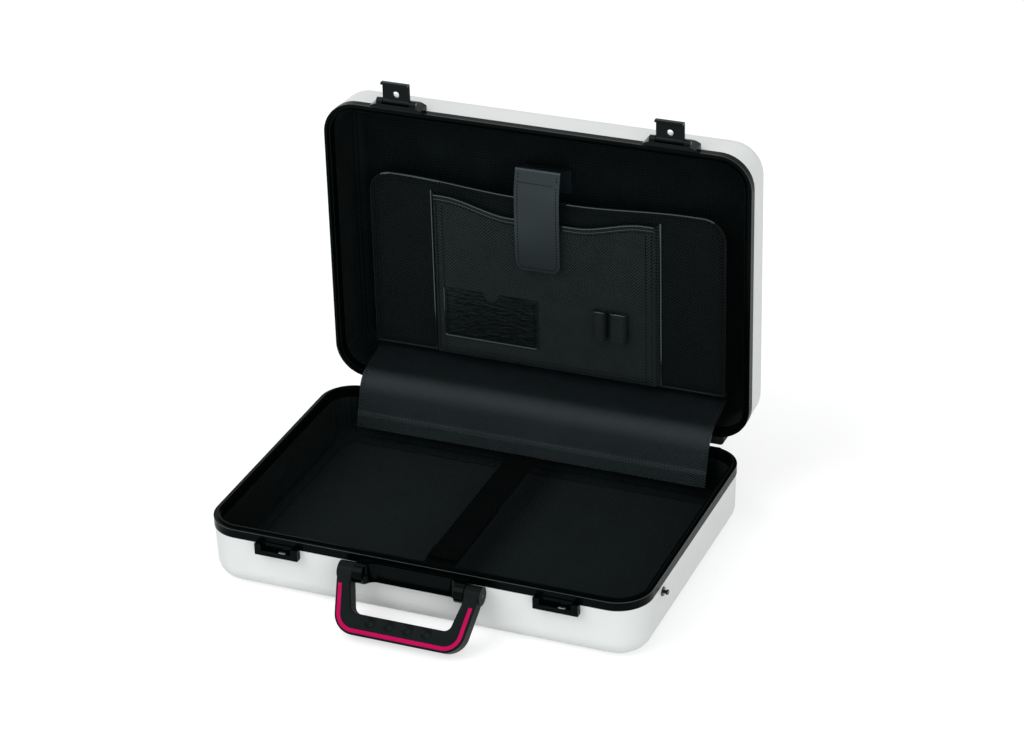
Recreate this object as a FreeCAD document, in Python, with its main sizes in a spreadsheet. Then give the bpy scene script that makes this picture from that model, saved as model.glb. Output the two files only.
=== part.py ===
import FreeCAD, Part
import math
import os
import Sketcher

# A hard-shell briefcase, lying on its base with the lid standing open.
# The origin is the middle of the base's underside, +Z is up, the handle side is -Y and the hinge side +Y.
# Pieces of the lid are drawn where they lie when the case is shut, and are then swung open about the hinge.

SIZES = {
    # Two moulded tubs
    "case_width": 470,
    "case_depth": 320,
    "base_height": 67.8,
    "lid_height": 60,
    "rim_gap": 0.4,
    "lid_open_angle": 90,
    "corner_radius": 36,
    "edge_radius": 20,
    "draft_angle": 1.5,
    "shell_wall": 3,
    # Rim profiles that hold the tubs' edges
    "frame_height": 10,
    "frame_proud": 0.7,
    "frame_width": 7,
    "slot_inset": 1.7,
    "slot_depth": 6,
    "joggle_height": 4,
    "tongue_inset": 3.9,
    "tongue_width": 1.6,
    "tongue_height": 2,
    "tongue_play": 0.7,
    # Textile linings and the padded floor
    "lining_wall": 1.5,
    "lining_play": 0.3,
    "pad_thickness": 5.5,
    "pad_margin": 4,
    "pad_underside_margin": 0.3,
    # Hold-down strap in the base
    "strap_width": 33,
    "strap_thickness": 1.4,
    "strap_level": 36,
    "strap_seat_gap": 0.2,
    "strap_front_reach": 95,
    "strap_bend": 116,
    "strap_back_level": 24,
    "strap_overlap": 110,
    "strap_anchor_width": 42,
    "strap_anchor_height": 7,
    "strap_anchor_thickness": 1.6,
    # Butt hinges
    "hinge_offset": 7.5,
    "hinge_inset": 105,
    "hinge_length": 60,
    "leaf_thickness": 2,
    "leaf_height": 24,
    "leaf_drop": 4,
    "web_thickness": 3.1,
    "hinge_knuckle_radius": 4.2,
    "hinge_pin_radius": 2,
    "knuckle_share": 18,
    "knuckle_gap": 0.3,
    "running_play": 0.06,
    "fixed_play": 0.02,
    "rivet_radius": 1.5,
    "rivet_head_radius": 3,
    "rivet_head_height": 1.2,
    "rivet_spread": 20,
    "rivet_drop": 16,
    # Feet beside the hinges
    "foot_inset": 45,
    "foot_width": 30,
    "foot_height": 26,
    "foot_depth": 13.5,
    "foot_rim_gap": 8,
    "foot_rounding": 4,
    # Latches
    "latch_inset": 85.5,
    "latch_width": 56,
    "latch_bevel": 6,
    "latch_bevel_depth": 3,
    "latch_bow": 14,
    "latch_overhang": 6,
    "latch_rise": 12.5,
    "latch_proud": 8.2,
    "latch_relief": 3.5,
    "ear_width": 6.5,
    "ear_proud": 13,
    "ear_half_height": 4,
    "lever_pivot_proud": 10,
    "lever_width": 30,
    "lever_length": 22.5,
    "lever_thickness": 2.5,
    "lever_side_gap": 0.35,
    "lever_knuckle_radius": 3.2,
    "lever_knuckle_gap": 0.4,
    "lever_hole_radius": 3.5,
    "lock_distance": 8.5,
    "hook_reach": 4.75,
    "hook_thickness": 2.5,
    "hook_round": 3,
    "hook_gap": 0.3,
    "latch_pin_radius": 1.6,
    "lock_radius": 3.3,
    "lock_proud": 13,
    "lock_floor": 2,
    "lock_end_gap": 0.1,
    "key_slot_width": 1.1,
    "key_slot_length": 4.4,
    "key_slot_depth": 2,
    # Keepers
    "keeper_width": 47,
    "keeper_drop": 7.3,
    "keeper_plate": 1.5,
    "keeper_depth": 7,
    "keeper_lug_width": 6.9,
    "keeper_bar_depth": 3.6,
    "keeper_bar_height": 5.5,
    "keeper_recess_width": 9,
    "keeper_recess_height": 2.6,
    "keeper_recess_depth": 1,
    "strike_offset": 6.5,
    "strike_width": 7,
    "strike_thickness": 0.8,
    "strike_margin": 0.5,
    # Handle
    "handle_drop": 13.8,
    "handle_pivot_proud": 12,
    "handle_hang_angle": 75,
    "handle_floor_gap": 0.4,
    "bracket_half": 59,
    "bracket_height": 21,
    "bracket_plate": 8,
    "horn_width": 10,
    "horn_round": 10.4,
    "horn_hollow": 11,
    "handle_pin_radius": 2.5,
    "handle_pin_grip": 12,
    "handle_side_gap": 0.4,
    "bow_arm": 16.6,
    "bow_taper": 9.5,
    "bow_reach": 61.6,
    "bow_thickness": 19,
    "bow_corner": 22,
    "bow_window_taper": 7.4,
    "bow_window_reach": 40,
    "bow_window_corner": 8,
    "bow_shoulder": 11,
    "bow_top_round": 1.6,
    "bow_under_round": 5,
    "stripe_start": 13.5,
    "stripe_inset": 2.4,
    "stripe_width": 4,
    "stripe_depth": 1.2,
    "dimple_pitch": 20,
    "dimple_reach": 46,
    "dimple_radius": 11,
    "dimple_depth": 2,
    # Studs for a shoulder strap
    "stud_front": 65,
    "stud_drop": 19.5,
    "stud_flange_radius": 4.75,
    "stud_flange": 1.2,
    "stud_neck_radius": 1.7,
    "stud_neck": 2.6,
    "stud_head_radius": 2.7,
    "stud_head": 2,
    # Organiser in the lid, measured from the hinge axis along the lid and from the rim into it
    "panel_margin": 36.5,
    "panel_bottom": 39,
    "panel_top": 241,
    "panel_depth": 30,
    "panel_thickness": 1.6,
    "panel_corner": 24,
    "gusset_inset": 4,
    "gusset_wall": 1.2,
    "pocket_width": 257,
    "pocket_bottom": 39,
    "pocket_top": 226,
    "pocket_dip": 14,
    "pocket_depth": 7,
    "pocket_wall": 1.4,
    "card_x": -61,
    "card_width": 106,
    "card_height": 57,
    "card_bottom": 63,
    "card_thickness": 1.4,
    "card_notch_radius": 9.5,
    "loop_left_x": 64.5,
    "loop_left_bore": 11.5,
    "loop_right_x": 85,
    "loop_right_bore": 16.5,
    "loop_height": 9,
    "loop_wall": 1.2,
    "loop_bottom": 90,
    "loop_length": 33,
    "loop_round": 4,
    "tab_x": -4,
    "tab_width": 50,
    "tab_fold": 260,
    "tab_tip": 158,
    "tab_thickness": 2,
    "tab_clear": 4,
    "tab_fold_gap": 0.6,
    "tab_corner": 10,
    "tab_foot": 24,
    # Apron between lid and base, placed from the hinge axis
    "apron_margin": 36,
    "apron_thickness": 1.6,
    "apron_seat_gap": 0.3,
    "apron_root_rise": 37,
    "apron_bend_in": 17.5,
    "apron_bend_rise": 18,
    "apron_hem_in": 33.5,
    "apron_hem_drop": 36,
    "apron_bend_radius": 30,
}

doc = FreeCAD.newDocument("Briefcase")
sheet = doc.addObject("Spreadsheet::Sheet", "Sizes")
for row, (alias, number) in enumerate(SIZES.items(), start=1):
    sheet.set("A%d" % row, alias.replace("_", " "))
    sheet.set("B%d" % row, str(number))
    sheet.setAlias("B%d" % row, alias)
doc.recompute()


class Size:
    """A length with its number and the formula that binds it to the sheet."""

    def __init__(self, number, formula):
        self.number = number
        self.formula = formula

    def join(self, other, sign, number):
        return Size(number, "(%s %s %s)" % (self.formula, sign, size_of(other).formula))

    def __add__(self, other):
        return self.join(other, "+", self.number + size_of(other).number)

    def __sub__(self, other):
        return self.join(other, "-", self.number - size_of(other).number)

    def __mul__(self, other):
        return self.join(other, "*", self.number * size_of(other).number)

    def __truediv__(self, other):
        return self.join(other, "/", self.number / size_of(other).number)

    def __neg__(self):
        return self * -1


def size_of(value):
    if isinstance(value, Size):
        return value
    return Size(float(value), repr(float(value)))


class Sheet:
    """Reads a size of the sheet by its alias."""

    def __getattr__(self, alias):
        return Size(float(sheet.get(alias)), "Sizes." + alias)


S = Sheet()


# Places that several pieces share

half_width = S.case_width / 2
half_depth = S.case_depth / 2
front = -half_depth
lean = Size(math.tan(math.radians(S.draft_angle.number)), "tan(Sizes.draft_angle * 1 deg)")
hinge_y = half_depth + S.hinge_offset
hinge_z = S.base_height + S.rim_gap / 2
lid_rim = S.base_height + S.rim_gap
base_frame_foot = S.base_height - S.frame_height
lid_frame_top = lid_rim + S.frame_height
lid_top = lid_rim + S.lid_height
lining_inset = S.slot_inset + S.shell_wall + S.lining_play
inner_radius = S.edge_radius - S.shell_wall
base_lining_rim = base_frame_foot - S.lining_play
lid_lining_rim = lid_frame_top + S.lining_play
base_floor = S.shell_wall + S.lining_wall
lid_back = lid_top - S.shell_wall - S.lining_wall


# Drawing helpers

def bind(target, name, size):
    target.setExpression(name, size.formula)


def new_body(label, in_lid=False):
    body = doc.addObject("PartDesign::Body", label)
    body.Label = label
    if in_lid:
        swing_open(body)
    return body


def swing_open(body):
    angle = math.radians(S.lid_open_angle.number)
    turn = FreeCAD.Rotation(FreeCAD.Vector(1, 0, 0), -S.lid_open_angle.number)
    body.Placement = FreeCAD.Placement(FreeCAD.Vector(), turn)
    sine = Size(math.sin(angle), "sin(Sizes.lid_open_angle * 1 deg)")
    cosine = Size(math.cos(angle), "cos(Sizes.lid_open_angle * 1 deg)")
    bind(body, "Placement.Base.y", hinge_y - hinge_y * cosine - hinge_z * sine)
    bind(body, "Placement.Base.z", hinge_z + hinge_y * sine - hinge_z * cosine)


def new_sketch(body, plane, offset):
    sketch = body.newObject("Sketcher::SketchObject", body.Name + "_outline")
    support = [item for item in body.Origin.OriginFeatures if item.Role == plane]
    sketch.AttachmentSupport = [(support[0], "")]
    sketch.MapMode = "FlatFace"
    bind(sketch, "AttachmentOffset.Base.z", size_of(offset))
    return sketch


def measure(sketch, kind, size, *geometry):
    index = sketch.addConstraint(Sketcher.Constraint(kind, *geometry, size.number))
    bind(sketch, "Constraints[%d]" % index, size)


def draw_polygon(sketch, corners):
    points = [FreeCAD.Vector(size_of(x).number, size_of(y).number, 0) for x, y in corners]
    count = len(points)
    lines = [Part.LineSegment(points[i], points[(i + 1) % count]) for i in range(count)]
    ids = sketch.addGeometry(lines, False)
    for i in range(count):
        sketch.addConstraint(Sketcher.Constraint("Coincident", ids[i], 2, ids[(i + 1) % count], 1))
    for i, (x, y) in enumerate(corners):
        measure(sketch, "DistanceX", size_of(x), -1, 1, ids[i], 1)
        measure(sketch, "DistanceY", size_of(y), -1, 1, ids[i], 1)


def draw_rounded_rectangle(sketch, width, depth, radius):
    half_x = width.number / 2
    half_y = depth.number / 2
    r = radius.number
    upright = FreeCAD.Vector(0, 0, 1)
    centres = [(half_x - r, r - half_y), (half_x - r, half_y - r), (r - half_x, half_y - r), (r - half_x, r - half_y)]
    pieces = []
    for quarter, (x, y) in enumerate(centres):
        start = (quarter - 1) * math.pi / 2
        circle = Part.Circle(FreeCAD.Vector(x, y, 0), upright, r)
        pieces.append(Part.ArcOfCircle(circle, start, start + math.pi / 2))
    arcs = sketch.addGeometry(pieces, False)
    sides = []
    for quarter in range(4):
        following = pieces[(quarter + 1) % 4]
        sides.append(Part.LineSegment(pieces[quarter].EndPoint, following.StartPoint))
    lines = sketch.addGeometry(sides, False)
    for quarter in range(4):
        sketch.addConstraint(Sketcher.Constraint("Tangent", arcs[quarter], 2, lines[quarter], 1))
        sketch.addConstraint(Sketcher.Constraint("Tangent", lines[quarter], 2, arcs[(quarter + 1) % 4], 1))
        sketch.addConstraint(Sketcher.Constraint("Vertical" if quarter % 2 == 0 else "Horizontal", lines[quarter]))
    for quarter in range(3):
        sketch.addConstraint(Sketcher.Constraint("Equal", arcs[quarter], arcs[quarter + 1]))
    sketch.addConstraint(Sketcher.Constraint("Symmetric", arcs[3], 3, arcs[1], 3, -1, 1))
    measure(sketch, "DistanceX", width, lines[2], 1, lines[0], 1)
    measure(sketch, "DistanceY", depth, lines[3], 1, lines[1], 1)
    measure(sketch, "Radius", radius, arcs[0])


def extrude(body, sketch, length, cut=False, backwards=False, taper=None):
    before = body.Shape.Volume if cut else 0
    kind = "PartDesign::Pocket" if cut else "PartDesign::Pad"
    feature = body.newObject(kind, body.Name + ("_cut" if cut else "_pad"))
    feature.Profile = sketch
    bind(feature, "Length", size_of(length))
    feature.Reversed = cut != backwards
    if taper is not None:
        bind(feature, "TaperAngle", taper)
    doc.recompute()
    if cut and not body.Shape.Volume < before:
        raise RuntimeError("a cut in %s took nothing away" % body.Label)
    return feature


def block(body, x, y, z, cut=False):
    """A box between two limits on each axis."""
    sketch = new_sketch(body, "XY_Plane", z[0])
    draw_polygon(sketch, [(x[0], y[0]), (x[1], y[0]), (x[1], y[1]), (x[0], y[1])])
    return extrude(body, sketch, size_of(z[1]) - z[0], cut)


def plate(body, corners, z, cut=False):
    """A plan outline, extruded upwards."""
    sketch = new_sketch(body, "XY_Plane", z[0])
    draw_polygon(sketch, corners)
    return extrude(body, sketch, size_of(z[1]) - z[0], cut)


def profile(body, corners, x, cut=False):
    """A side outline in Y and Z, extruded along X."""
    sketch = new_sketch(body, "YZ_Plane", x[0])
    draw_polygon(sketch, corners)
    return extrude(body, sketch, size_of(x[1]) - x[0], cut)


def rod(body, plane, centre, radius, span, cut=False):
    """A round bar square to a plane; on XZ_Plane the span runs towards -Y."""
    sketch = new_sketch(body, plane, span[0])
    x, y = size_of(centre[0]), size_of(centre[1])
    circle = Part.Circle(FreeCAD.Vector(x.number, y.number, 0), FreeCAD.Vector(0, 0, 1), radius.number)
    index = sketch.addGeometry(circle, False)
    measure(sketch, "DistanceX", x, -1, 1, index, 3)
    measure(sketch, "DistanceY", y, -1, 1, index, 3)
    measure(sketch, "Radius", radius, index)
    return extrude(body, sketch, size_of(span[1]) - span[0], cut)


def draw_case_outline(sketch, inset):
    """The case's plan outline, set in from the rim's outer face."""
    width = S.case_width - inset * 2
    draw_rounded_rectangle(sketch, width, S.case_depth - inset * 2, S.corner_radius - inset)


def ring(body, z, outer_inset, inner_inset, cut=False):
    """A band that follows the rim all the way round."""
    sketch = new_sketch(body, "XY_Plane", z[0])
    draw_case_outline(sketch, size_of(outer_inset))
    draw_case_outline(sketch, size_of(inner_inset))
    return extrude(body, sketch, size_of(z[1]) - z[0], cut)


def round_edges(body, radius, test):
    tip = body.Tip
    found = []
    for index, edge in enumerate(tip.Shape.Edges, start=1):
        if test(edge.BoundBox):
            found.append("Edge%d" % index)
    if not found:
        raise RuntimeError("no edge to round in %s" % body.Label)
    feature = body.newObject("PartDesign::Fillet", body.Name + "_round")
    feature.Base = (tip, found)
    bind(feature, "Radius", radius)
    doc.recompute()
    return feature


NEAR = 0.01


def at(low, high, size):
    value = size_of(size).number
    return abs(low - value) < NEAR and abs(high - value) < NEAR


def at_level(z):
    return lambda box: at(box.ZMin, box.ZMax, z)


def upright_at(y, x=None):
    """Edges that stand upright at a given Y and, if given, at a given X to either side."""
    def test(box):
        standing = at(box.YMin, box.YMax, y) and box.XLength < NEAR and box.ZLength > NEAR
        return standing and (x is None or abs(abs(box.Center.x) - size_of(x).number) < NEAR)
    return test


def across_at(y, z):
    """Edges that run along X at a given Y and Z."""
    return lambda box: at(box.YMin, box.YMax, y) and at(box.ZMin, box.ZMax, z) and box.XLength > NEAR


def tub(body, rim, floor, inset, wall, radius, upside_down):
    """A drafted tub with rounded corners and a rounded floor edge, open at its rim."""
    depth = rim - floor
    if upside_down:
        depth = floor - rim
    sketch = new_sketch(body, "XY_Plane", rim)
    draw_case_outline(sketch, inset)
    extrude(body, sketch, depth, backwards=not upside_down, taper=-S.draft_angle)
    hollow = new_sketch(body, "XY_Plane", rim)
    draw_case_outline(hollow, inset + wall)
    extrude(body, hollow, depth - wall, cut=True, backwards=not upside_down, taper=-S.draft_angle)
    inner_floor = floor + wall
    if upside_down:
        inner_floor = floor - wall
    round_edges(body, radius - wall, at_level(inner_floor))
    round_edges(body, radius, at_level(floor))


sides = {"left": -1, "right": 1}
parts = []


def finish(body):
    parts.append(body)
    return body


# Shells: thermoformed tubs whose top edge is set in to sit in the rim profile

base_shell = new_body("base_shell")
tub(base_shell, base_frame_foot, size_of(0), S.frame_proud, S.shell_wall, S.edge_radius, False)
joggle = (base_frame_foot - S.joggle_height, base_frame_foot + S.slot_depth)
ring(base_shell, joggle, S.slot_inset, S.slot_inset + S.shell_wall)
finish(base_shell)

lid_shell = new_body("lid_shell", in_lid=True)
tub(lid_shell, lid_frame_top, lid_top, S.frame_proud, S.shell_wall, S.edge_radius, True)
joggle = (lid_frame_top - S.slot_depth, lid_frame_top + S.joggle_height)
ring(lid_shell, joggle, S.slot_inset, S.slot_inset + S.shell_wall)
finish(lid_shell)

# Rim profiles: a slot takes the shell's edge; the base carries a tongue and the lid its groove

base_frame = new_body("base_frame")
ring(base_frame, (base_frame_foot, S.base_height), 0, S.frame_width)
ring(base_frame, (base_frame_foot, base_frame_foot + S.slot_depth), S.slot_inset, S.slot_inset + S.shell_wall, cut=True)
tongue_inner = S.tongue_inset + S.tongue_width
ring(base_frame, (S.base_height, S.base_height + S.tongue_height), S.tongue_inset, tongue_inner)
finish(base_frame)

lid_frame = new_body("lid_frame", in_lid=True)
ring(lid_frame, (lid_rim, lid_frame_top), 0, S.frame_width)
ring(lid_frame, (lid_frame_top - S.slot_depth, lid_frame_top), S.slot_inset, S.slot_inset + S.shell_wall, cut=True)
groove = (lid_rim, lid_rim + S.tongue_height + S.tongue_play)
ring(lid_frame, groove, S.tongue_inset - S.tongue_play, tongue_inner + S.tongue_play, cut=True)
finish(lid_frame)

# Linings: textile tubs that stand on the shells' inner floors

base_lining = new_body("base_lining")
tub(base_lining, base_lining_rim, S.shell_wall, lining_inset, S.lining_wall, inner_radius, False)
finish(base_lining)

lid_lining = new_body("lid_lining", in_lid=True)
tub(lid_lining, lid_lining_rim, lid_top - S.shell_wall, lining_inset, S.lining_wall, inner_radius, True)
finish(lid_lining)

# Floor pad: covers the floor, with an underside cut back where the lining turns up

floor_pad = new_body("floor_pad")
lining_foot_inset = lining_inset + S.lining_wall + (base_lining_rim - base_floor) * lean
pad_levels = [
    (base_floor, lining_foot_inset + inner_radius + S.pad_underside_margin),
    (base_floor + S.pad_thickness, lining_foot_inset + S.pad_margin),
]
pad_sketches = []
for level, inset in pad_levels:
    sketch = new_sketch(floor_pad, "XY_Plane", level)
    draw_case_outline(sketch, inset)
    pad_sketches.append(sketch)
pad_loft = floor_pad.newObject("PartDesign::AdditiveLoft", "floor_pad_loft")
pad_loft.Profile = pad_sketches[0]
pad_loft.Sections = [pad_sketches[1]]
pad_loft.Ruled = True
doc.recompute()
finish(floor_pad)


# Hold-down strap: two webbing halves that overlap, each sewn to an anchor patch on the lining

def lining_face(z):
    """How far the lining's inner face lies from the middle, front or back, at a height."""
    return half_depth - lining_inset - S.lining_wall - (base_lining_rim - z) * lean


strap_ends = {}
for name, way, level in (("front", -1, S.strap_level), ("back", 1, S.strap_back_level)):
    anchor = new_body("strap_anchor_" + name)
    anchor_foot = level - S.strap_anchor_height / 2
    anchor_head = level + S.strap_anchor_height / 2
    anchor_inner = lining_face(anchor_foot) - S.strap_anchor_thickness
    strap_ends[name] = (anchor_inner - S.strap_seat_gap) * way
    corners = [
        (anchor_inner * way, anchor_foot),
        (lining_face(anchor_foot) * way, anchor_foot),
        (lining_face(anchor_head) * way, anchor_head),
        (anchor_inner * way, anchor_head),
    ]
    profile(anchor, corners, (-S.strap_anchor_width / 2, S.strap_anchor_width / 2))
    finish(anchor)

strap_x = (-S.strap_width / 2, S.strap_width / 2)
strap_front = new_body("strap_front")
strap_y = (strap_ends["front"], S.strap_overlap - S.strap_front_reach)
block(strap_front, strap_x, strap_y, (S.strap_level - S.strap_thickness, S.strap_level))
finish(strap_front)

strap_rear = new_body("strap_rear")
rear_line = [
    (-S.strap_front_reach, S.strap_level + S.strap_seat_gap),
    (S.strap_bend, S.strap_level + S.strap_seat_gap),
    (strap_ends["back"], S.strap_back_level),
]
rear_top = [(y, z + S.strap_thickness) for y, z in reversed(rear_line)]
profile(strap_rear, rear_line + rear_top, strap_x)
finish(strap_rear)

# Butt hinges: a leaf on each half, knuckles on the axis behind the rim, a pin and rivets

leaf_face = half_depth + S.leaf_thickness
base_rivets = new_body("hinge_rivets_base")
lid_rivets = new_body("hinge_rivets_lid", in_lid=True)


def hinge_leaf(label, middle, in_lid):
    """One leaf: a plate on the rim, a web out to the axis, and its own knuckles."""
    leaf = new_body(label, in_lid)
    up = 1 if in_lid else -1
    edge = hinge_z + S.leaf_drop * up
    end = edge + S.leaf_height * up
    x = (middle - S.hinge_length / 2, middle + S.hinge_length / 2)
    levels = (edge, end) if in_lid else (end, edge)
    block(leaf, x, (half_depth, leaf_face), levels)
    if in_lid:
        spans = [(x[0] + S.knuckle_share + S.knuckle_gap, x[1] - S.knuckle_share - S.knuckle_gap)]
    else:
        spans = [(x[0], x[0] + S.knuckle_share), (x[1] - S.knuckle_share, x[1])]
    near = hinge_z + S.rim_gap / 2 * up
    far = near + S.web_thickness * up
    for span in spans:
        web = [(half_depth, near), (hinge_y, near), (hinge_y, far), (leaf_face, edge), (half_depth, edge)]
        profile(leaf, web, span)
        rod(leaf, "YZ_Plane", (hinge_y, hinge_z), S.hinge_knuckle_radius, span)
    play = S.running_play if in_lid else S.fixed_play
    rod(leaf, "YZ_Plane", (hinge_y, hinge_z), S.hinge_pin_radius + play, x, cut=True)
    rivets = lid_rivets if in_lid else base_rivets
    level = edge + S.rivet_drop * up
    for way in (-1, 1):
        place = (middle + S.rivet_spread * way, level)
        rod(leaf, "XZ_Plane", place, S.rivet_radius + S.fixed_play, (-leaf_face, front), cut=True)
        rod(rivets, "XZ_Plane", place, S.rivet_radius, (-leaf_face, front))
        rod(rivets, "XZ_Plane", place, S.rivet_head_radius, (-leaf_face - S.rivet_head_height, -leaf_face))
    finish(leaf)


for side, way in sides.items():
    middle = (half_width - S.hinge_inset) * way
    hinge_leaf("hinge_leaf_base_" + side, middle, False)
    hinge_leaf("hinge_leaf_lid_" + side, middle, True)
    pin = new_body("hinge_pin_" + side)
    span = (middle - S.hinge_length / 2, middle + S.hinge_length / 2)
    rod(pin, "YZ_Plane", (hinge_y, hinge_z), S.hinge_pin_radius, span)
    finish(pin)
finish(base_rivets)
finish(lid_rivets)


# Feet: the case stands on these and clears its hinges when it is set down upright

def foot(label, middle, in_lid):
    body = new_body(label, in_lid)
    up = 1 if in_lid else -1
    near = hinge_z + S.foot_rim_gap * up
    far = near + S.foot_height * up
    frame_edge = lid_frame_top if in_lid else base_frame_foot

    def wall(z):
        return half_depth - S.frame_proud - (z - frame_edge) * up * lean

    tip = half_depth + S.foot_depth
    start = frame_edge
    corners = [(wall(start), start), (tip, start), (tip, far), (wall(far), far)]
    profile(body, corners, (middle - S.foot_width / 2, middle + S.foot_width / 2))
    shoulder = sorted((near.number, start.number))
    if shoulder[1] - shoulder[0] > NEAR:
        collar = (near, start) if in_lid else (start, near)
        block(body, (middle - S.foot_width / 2, middle + S.foot_width / 2), (half_depth, tip), collar)
    round_edges(body, S.foot_rounding, lambda box: at(box.YMin, box.YMax, tip) and box.XLength < NEAR)
    finish(body)


for side, way in sides.items():
    foot("foot_base_" + side, (half_width - S.foot_inset) * way, False)
    foot("foot_lid_" + side, (half_width - S.foot_inset) * way, True)

# Latches: a base on the lid's front, a lever on a pin, and a key lock barrel behind the lever

pivot_y = front - S.lever_pivot_proud
pivot_z = hinge_z
bar_bottom = pivot_z - S.lever_length + S.hook_thickness + S.hook_gap
for side, way in sides.items():
    middle = (half_width - S.latch_inset) * way
    half = S.latch_width / 2
    inner = S.lever_width / 2 + S.lever_side_gap
    latch_base = new_body("latch_base_" + side, in_lid=True)
    bevel_y = front - S.latch_proud + S.latch_bevel_depth
    outline = [
        (middle - half, front),
        (middle - half, bevel_y),
        (middle - half + S.latch_bevel, front - S.latch_proud),
        (middle + half - S.latch_bevel, front - S.latch_proud),
        (middle + half, bevel_y),
        (middle + half, front),
    ]
    latch_levels = (pivot_z - S.latch_overhang, pivot_z + S.latch_rise)
    plate(latch_base, outline, latch_levels)
    round_edges(latch_base, S.latch_bow, upright_at(front - S.latch_proud))
    ear_levels = (pivot_z - S.ear_half_height, pivot_z + S.ear_half_height)
    for hand in (-1, 1):
        ear_inner = middle + inner * hand
        ear_outer = ear_inner + S.ear_width * hand
        ear_x = (ear_inner, ear_outer) if hand > 0 else (ear_outer, ear_inner)
        block(latch_base, ear_x, (front - S.ear_proud, front - S.latch_relief), ear_levels)
    round_edges(latch_base, S.ear_half_height * 0.9, lambda box: at(box.YMin, box.YMax, front - S.ear_proud)
                and box.XLength > NEAR)
    relief_y = (front - S.latch_relief, front)
    block(latch_base, (middle - half, middle + half), relief_y, (latch_levels[0], lid_rim), cut=True)
    knuckle_space = S.lever_knuckle_radius + S.lever_knuckle_gap
    rod(latch_base, "YZ_Plane", (pivot_y, pivot_z), knuckle_space, (middle - inner, middle + inner), cut=True)
    pin_x = (middle - inner - S.ear_width, middle + inner + S.ear_width)
    rod(latch_base, "YZ_Plane", (pivot_y, pivot_z), S.latch_pin_radius + S.fixed_play, pin_x, cut=True)
    lock_place = (middle, pivot_z + S.lock_distance)
    bore = (half_depth + S.lock_floor, half_depth + S.latch_proud)
    rod(latch_base, "XZ_Plane", lock_place, S.lock_radius + S.running_play, bore, cut=True)
    finish(latch_base)

    latch_pin = new_body("latch_pin_" + side, in_lid=True)
    rod(latch_pin, "YZ_Plane", (pivot_y, pivot_z), S.latch_pin_radius, pin_x)
    finish(latch_pin)

    lever = new_body("latch_lever_" + side, in_lid=True)
    lever_x = (middle - S.lever_width / 2, middle + S.lever_width / 2)
    tip = pivot_y - S.lever_length
    lever_levels = (pivot_z - S.lever_thickness / 2, pivot_z + S.lever_thickness / 2)
    block(lever, lever_x, (tip, pivot_y), lever_levels)
    rod(lever, "YZ_Plane", (pivot_y, pivot_z), S.lever_knuckle_radius, lever_x)
    hook_levels = (lever_levels[0] - S.hook_reach, lever_levels[0])
    block(lever, lever_x, (tip, tip + S.hook_thickness), hook_levels)
    round_edges(lever, S.hook_round, across_at(tip, lever_levels[1]))
    rod(lever, "YZ_Plane", (pivot_y, pivot_z), S.latch_pin_radius + S.running_play, lever_x, cut=True)
    hole = (middle, pivot_y - S.lock_distance)
    rod(lever, "XY_Plane", hole, S.lever_hole_radius, lever_levels, cut=True)
    finish(lever)

    lock = new_body("lock_barrel_" + side, in_lid=True)
    lock_span = (half_depth + S.lock_floor + S.lock_end_gap, half_depth + S.lock_proud)
    rod(lock, "XZ_Plane", lock_place, S.lock_radius, lock_span)
    slot_x = (middle - S.key_slot_width / 2, middle + S.key_slot_width / 2)
    slot_y = (front - S.lock_proud, front - S.lock_proud + S.key_slot_depth)
    slot_z = (lock_place[1] - S.key_slot_length / 2, lock_place[1] + S.key_slot_length / 2)
    block(lock, slot_x, slot_y, slot_z, cut=True)
    finish(lock)

# Keepers: on the base under each latch; the lever's hook closes under the keeper's bar

for side, way in sides.items():
    middle = (half_width - S.latch_inset) * way
    keeper_top = S.base_height - S.keeper_drop
    x = (middle - S.keeper_width / 2, middle + S.keeper_width / 2)
    bar_x = (x[0] + S.keeper_lug_width, x[1] - S.keeper_lug_width)
    keeper = new_body("keeper_" + side)
    face = front - S.keeper_depth
    bar_back = face + S.keeper_bar_depth
    block(keeper, x, (face, front), (bar_bottom, keeper_top))
    over_bar = (bar_bottom + S.keeper_bar_height, keeper_top)
    block(keeper, bar_x, (face, front - S.keeper_plate), over_bar, cut=True)
    block(keeper, bar_x, (bar_back, front - S.keeper_plate), (bar_bottom, over_bar[0]), cut=True)
    recess_x = (middle - S.keeper_recess_width, middle)
    recess_middle = bar_bottom + S.keeper_bar_height / 2
    recess_z = (recess_middle - S.keeper_recess_height / 2, recess_middle + S.keeper_recess_height / 2)
    block(keeper, recess_x, (face, face + S.keeper_recess_depth), recess_z, cut=True)
    finish(keeper)

    strike = new_body("strike_plate_" + side)
    strike_middle = middle + S.strike_offset
    strike_x = (strike_middle - S.strike_width / 2, strike_middle + S.strike_width / 2)
    strike_y = (face + S.strike_margin, bar_back - S.strike_margin)
    block(strike, strike_x, strike_y, (over_bar[0], over_bar[0] + S.strike_thickness))
    finish(strike)

# Handle bracket: a plate on the front with a forward horn at each end that carries a pivot pin

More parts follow.
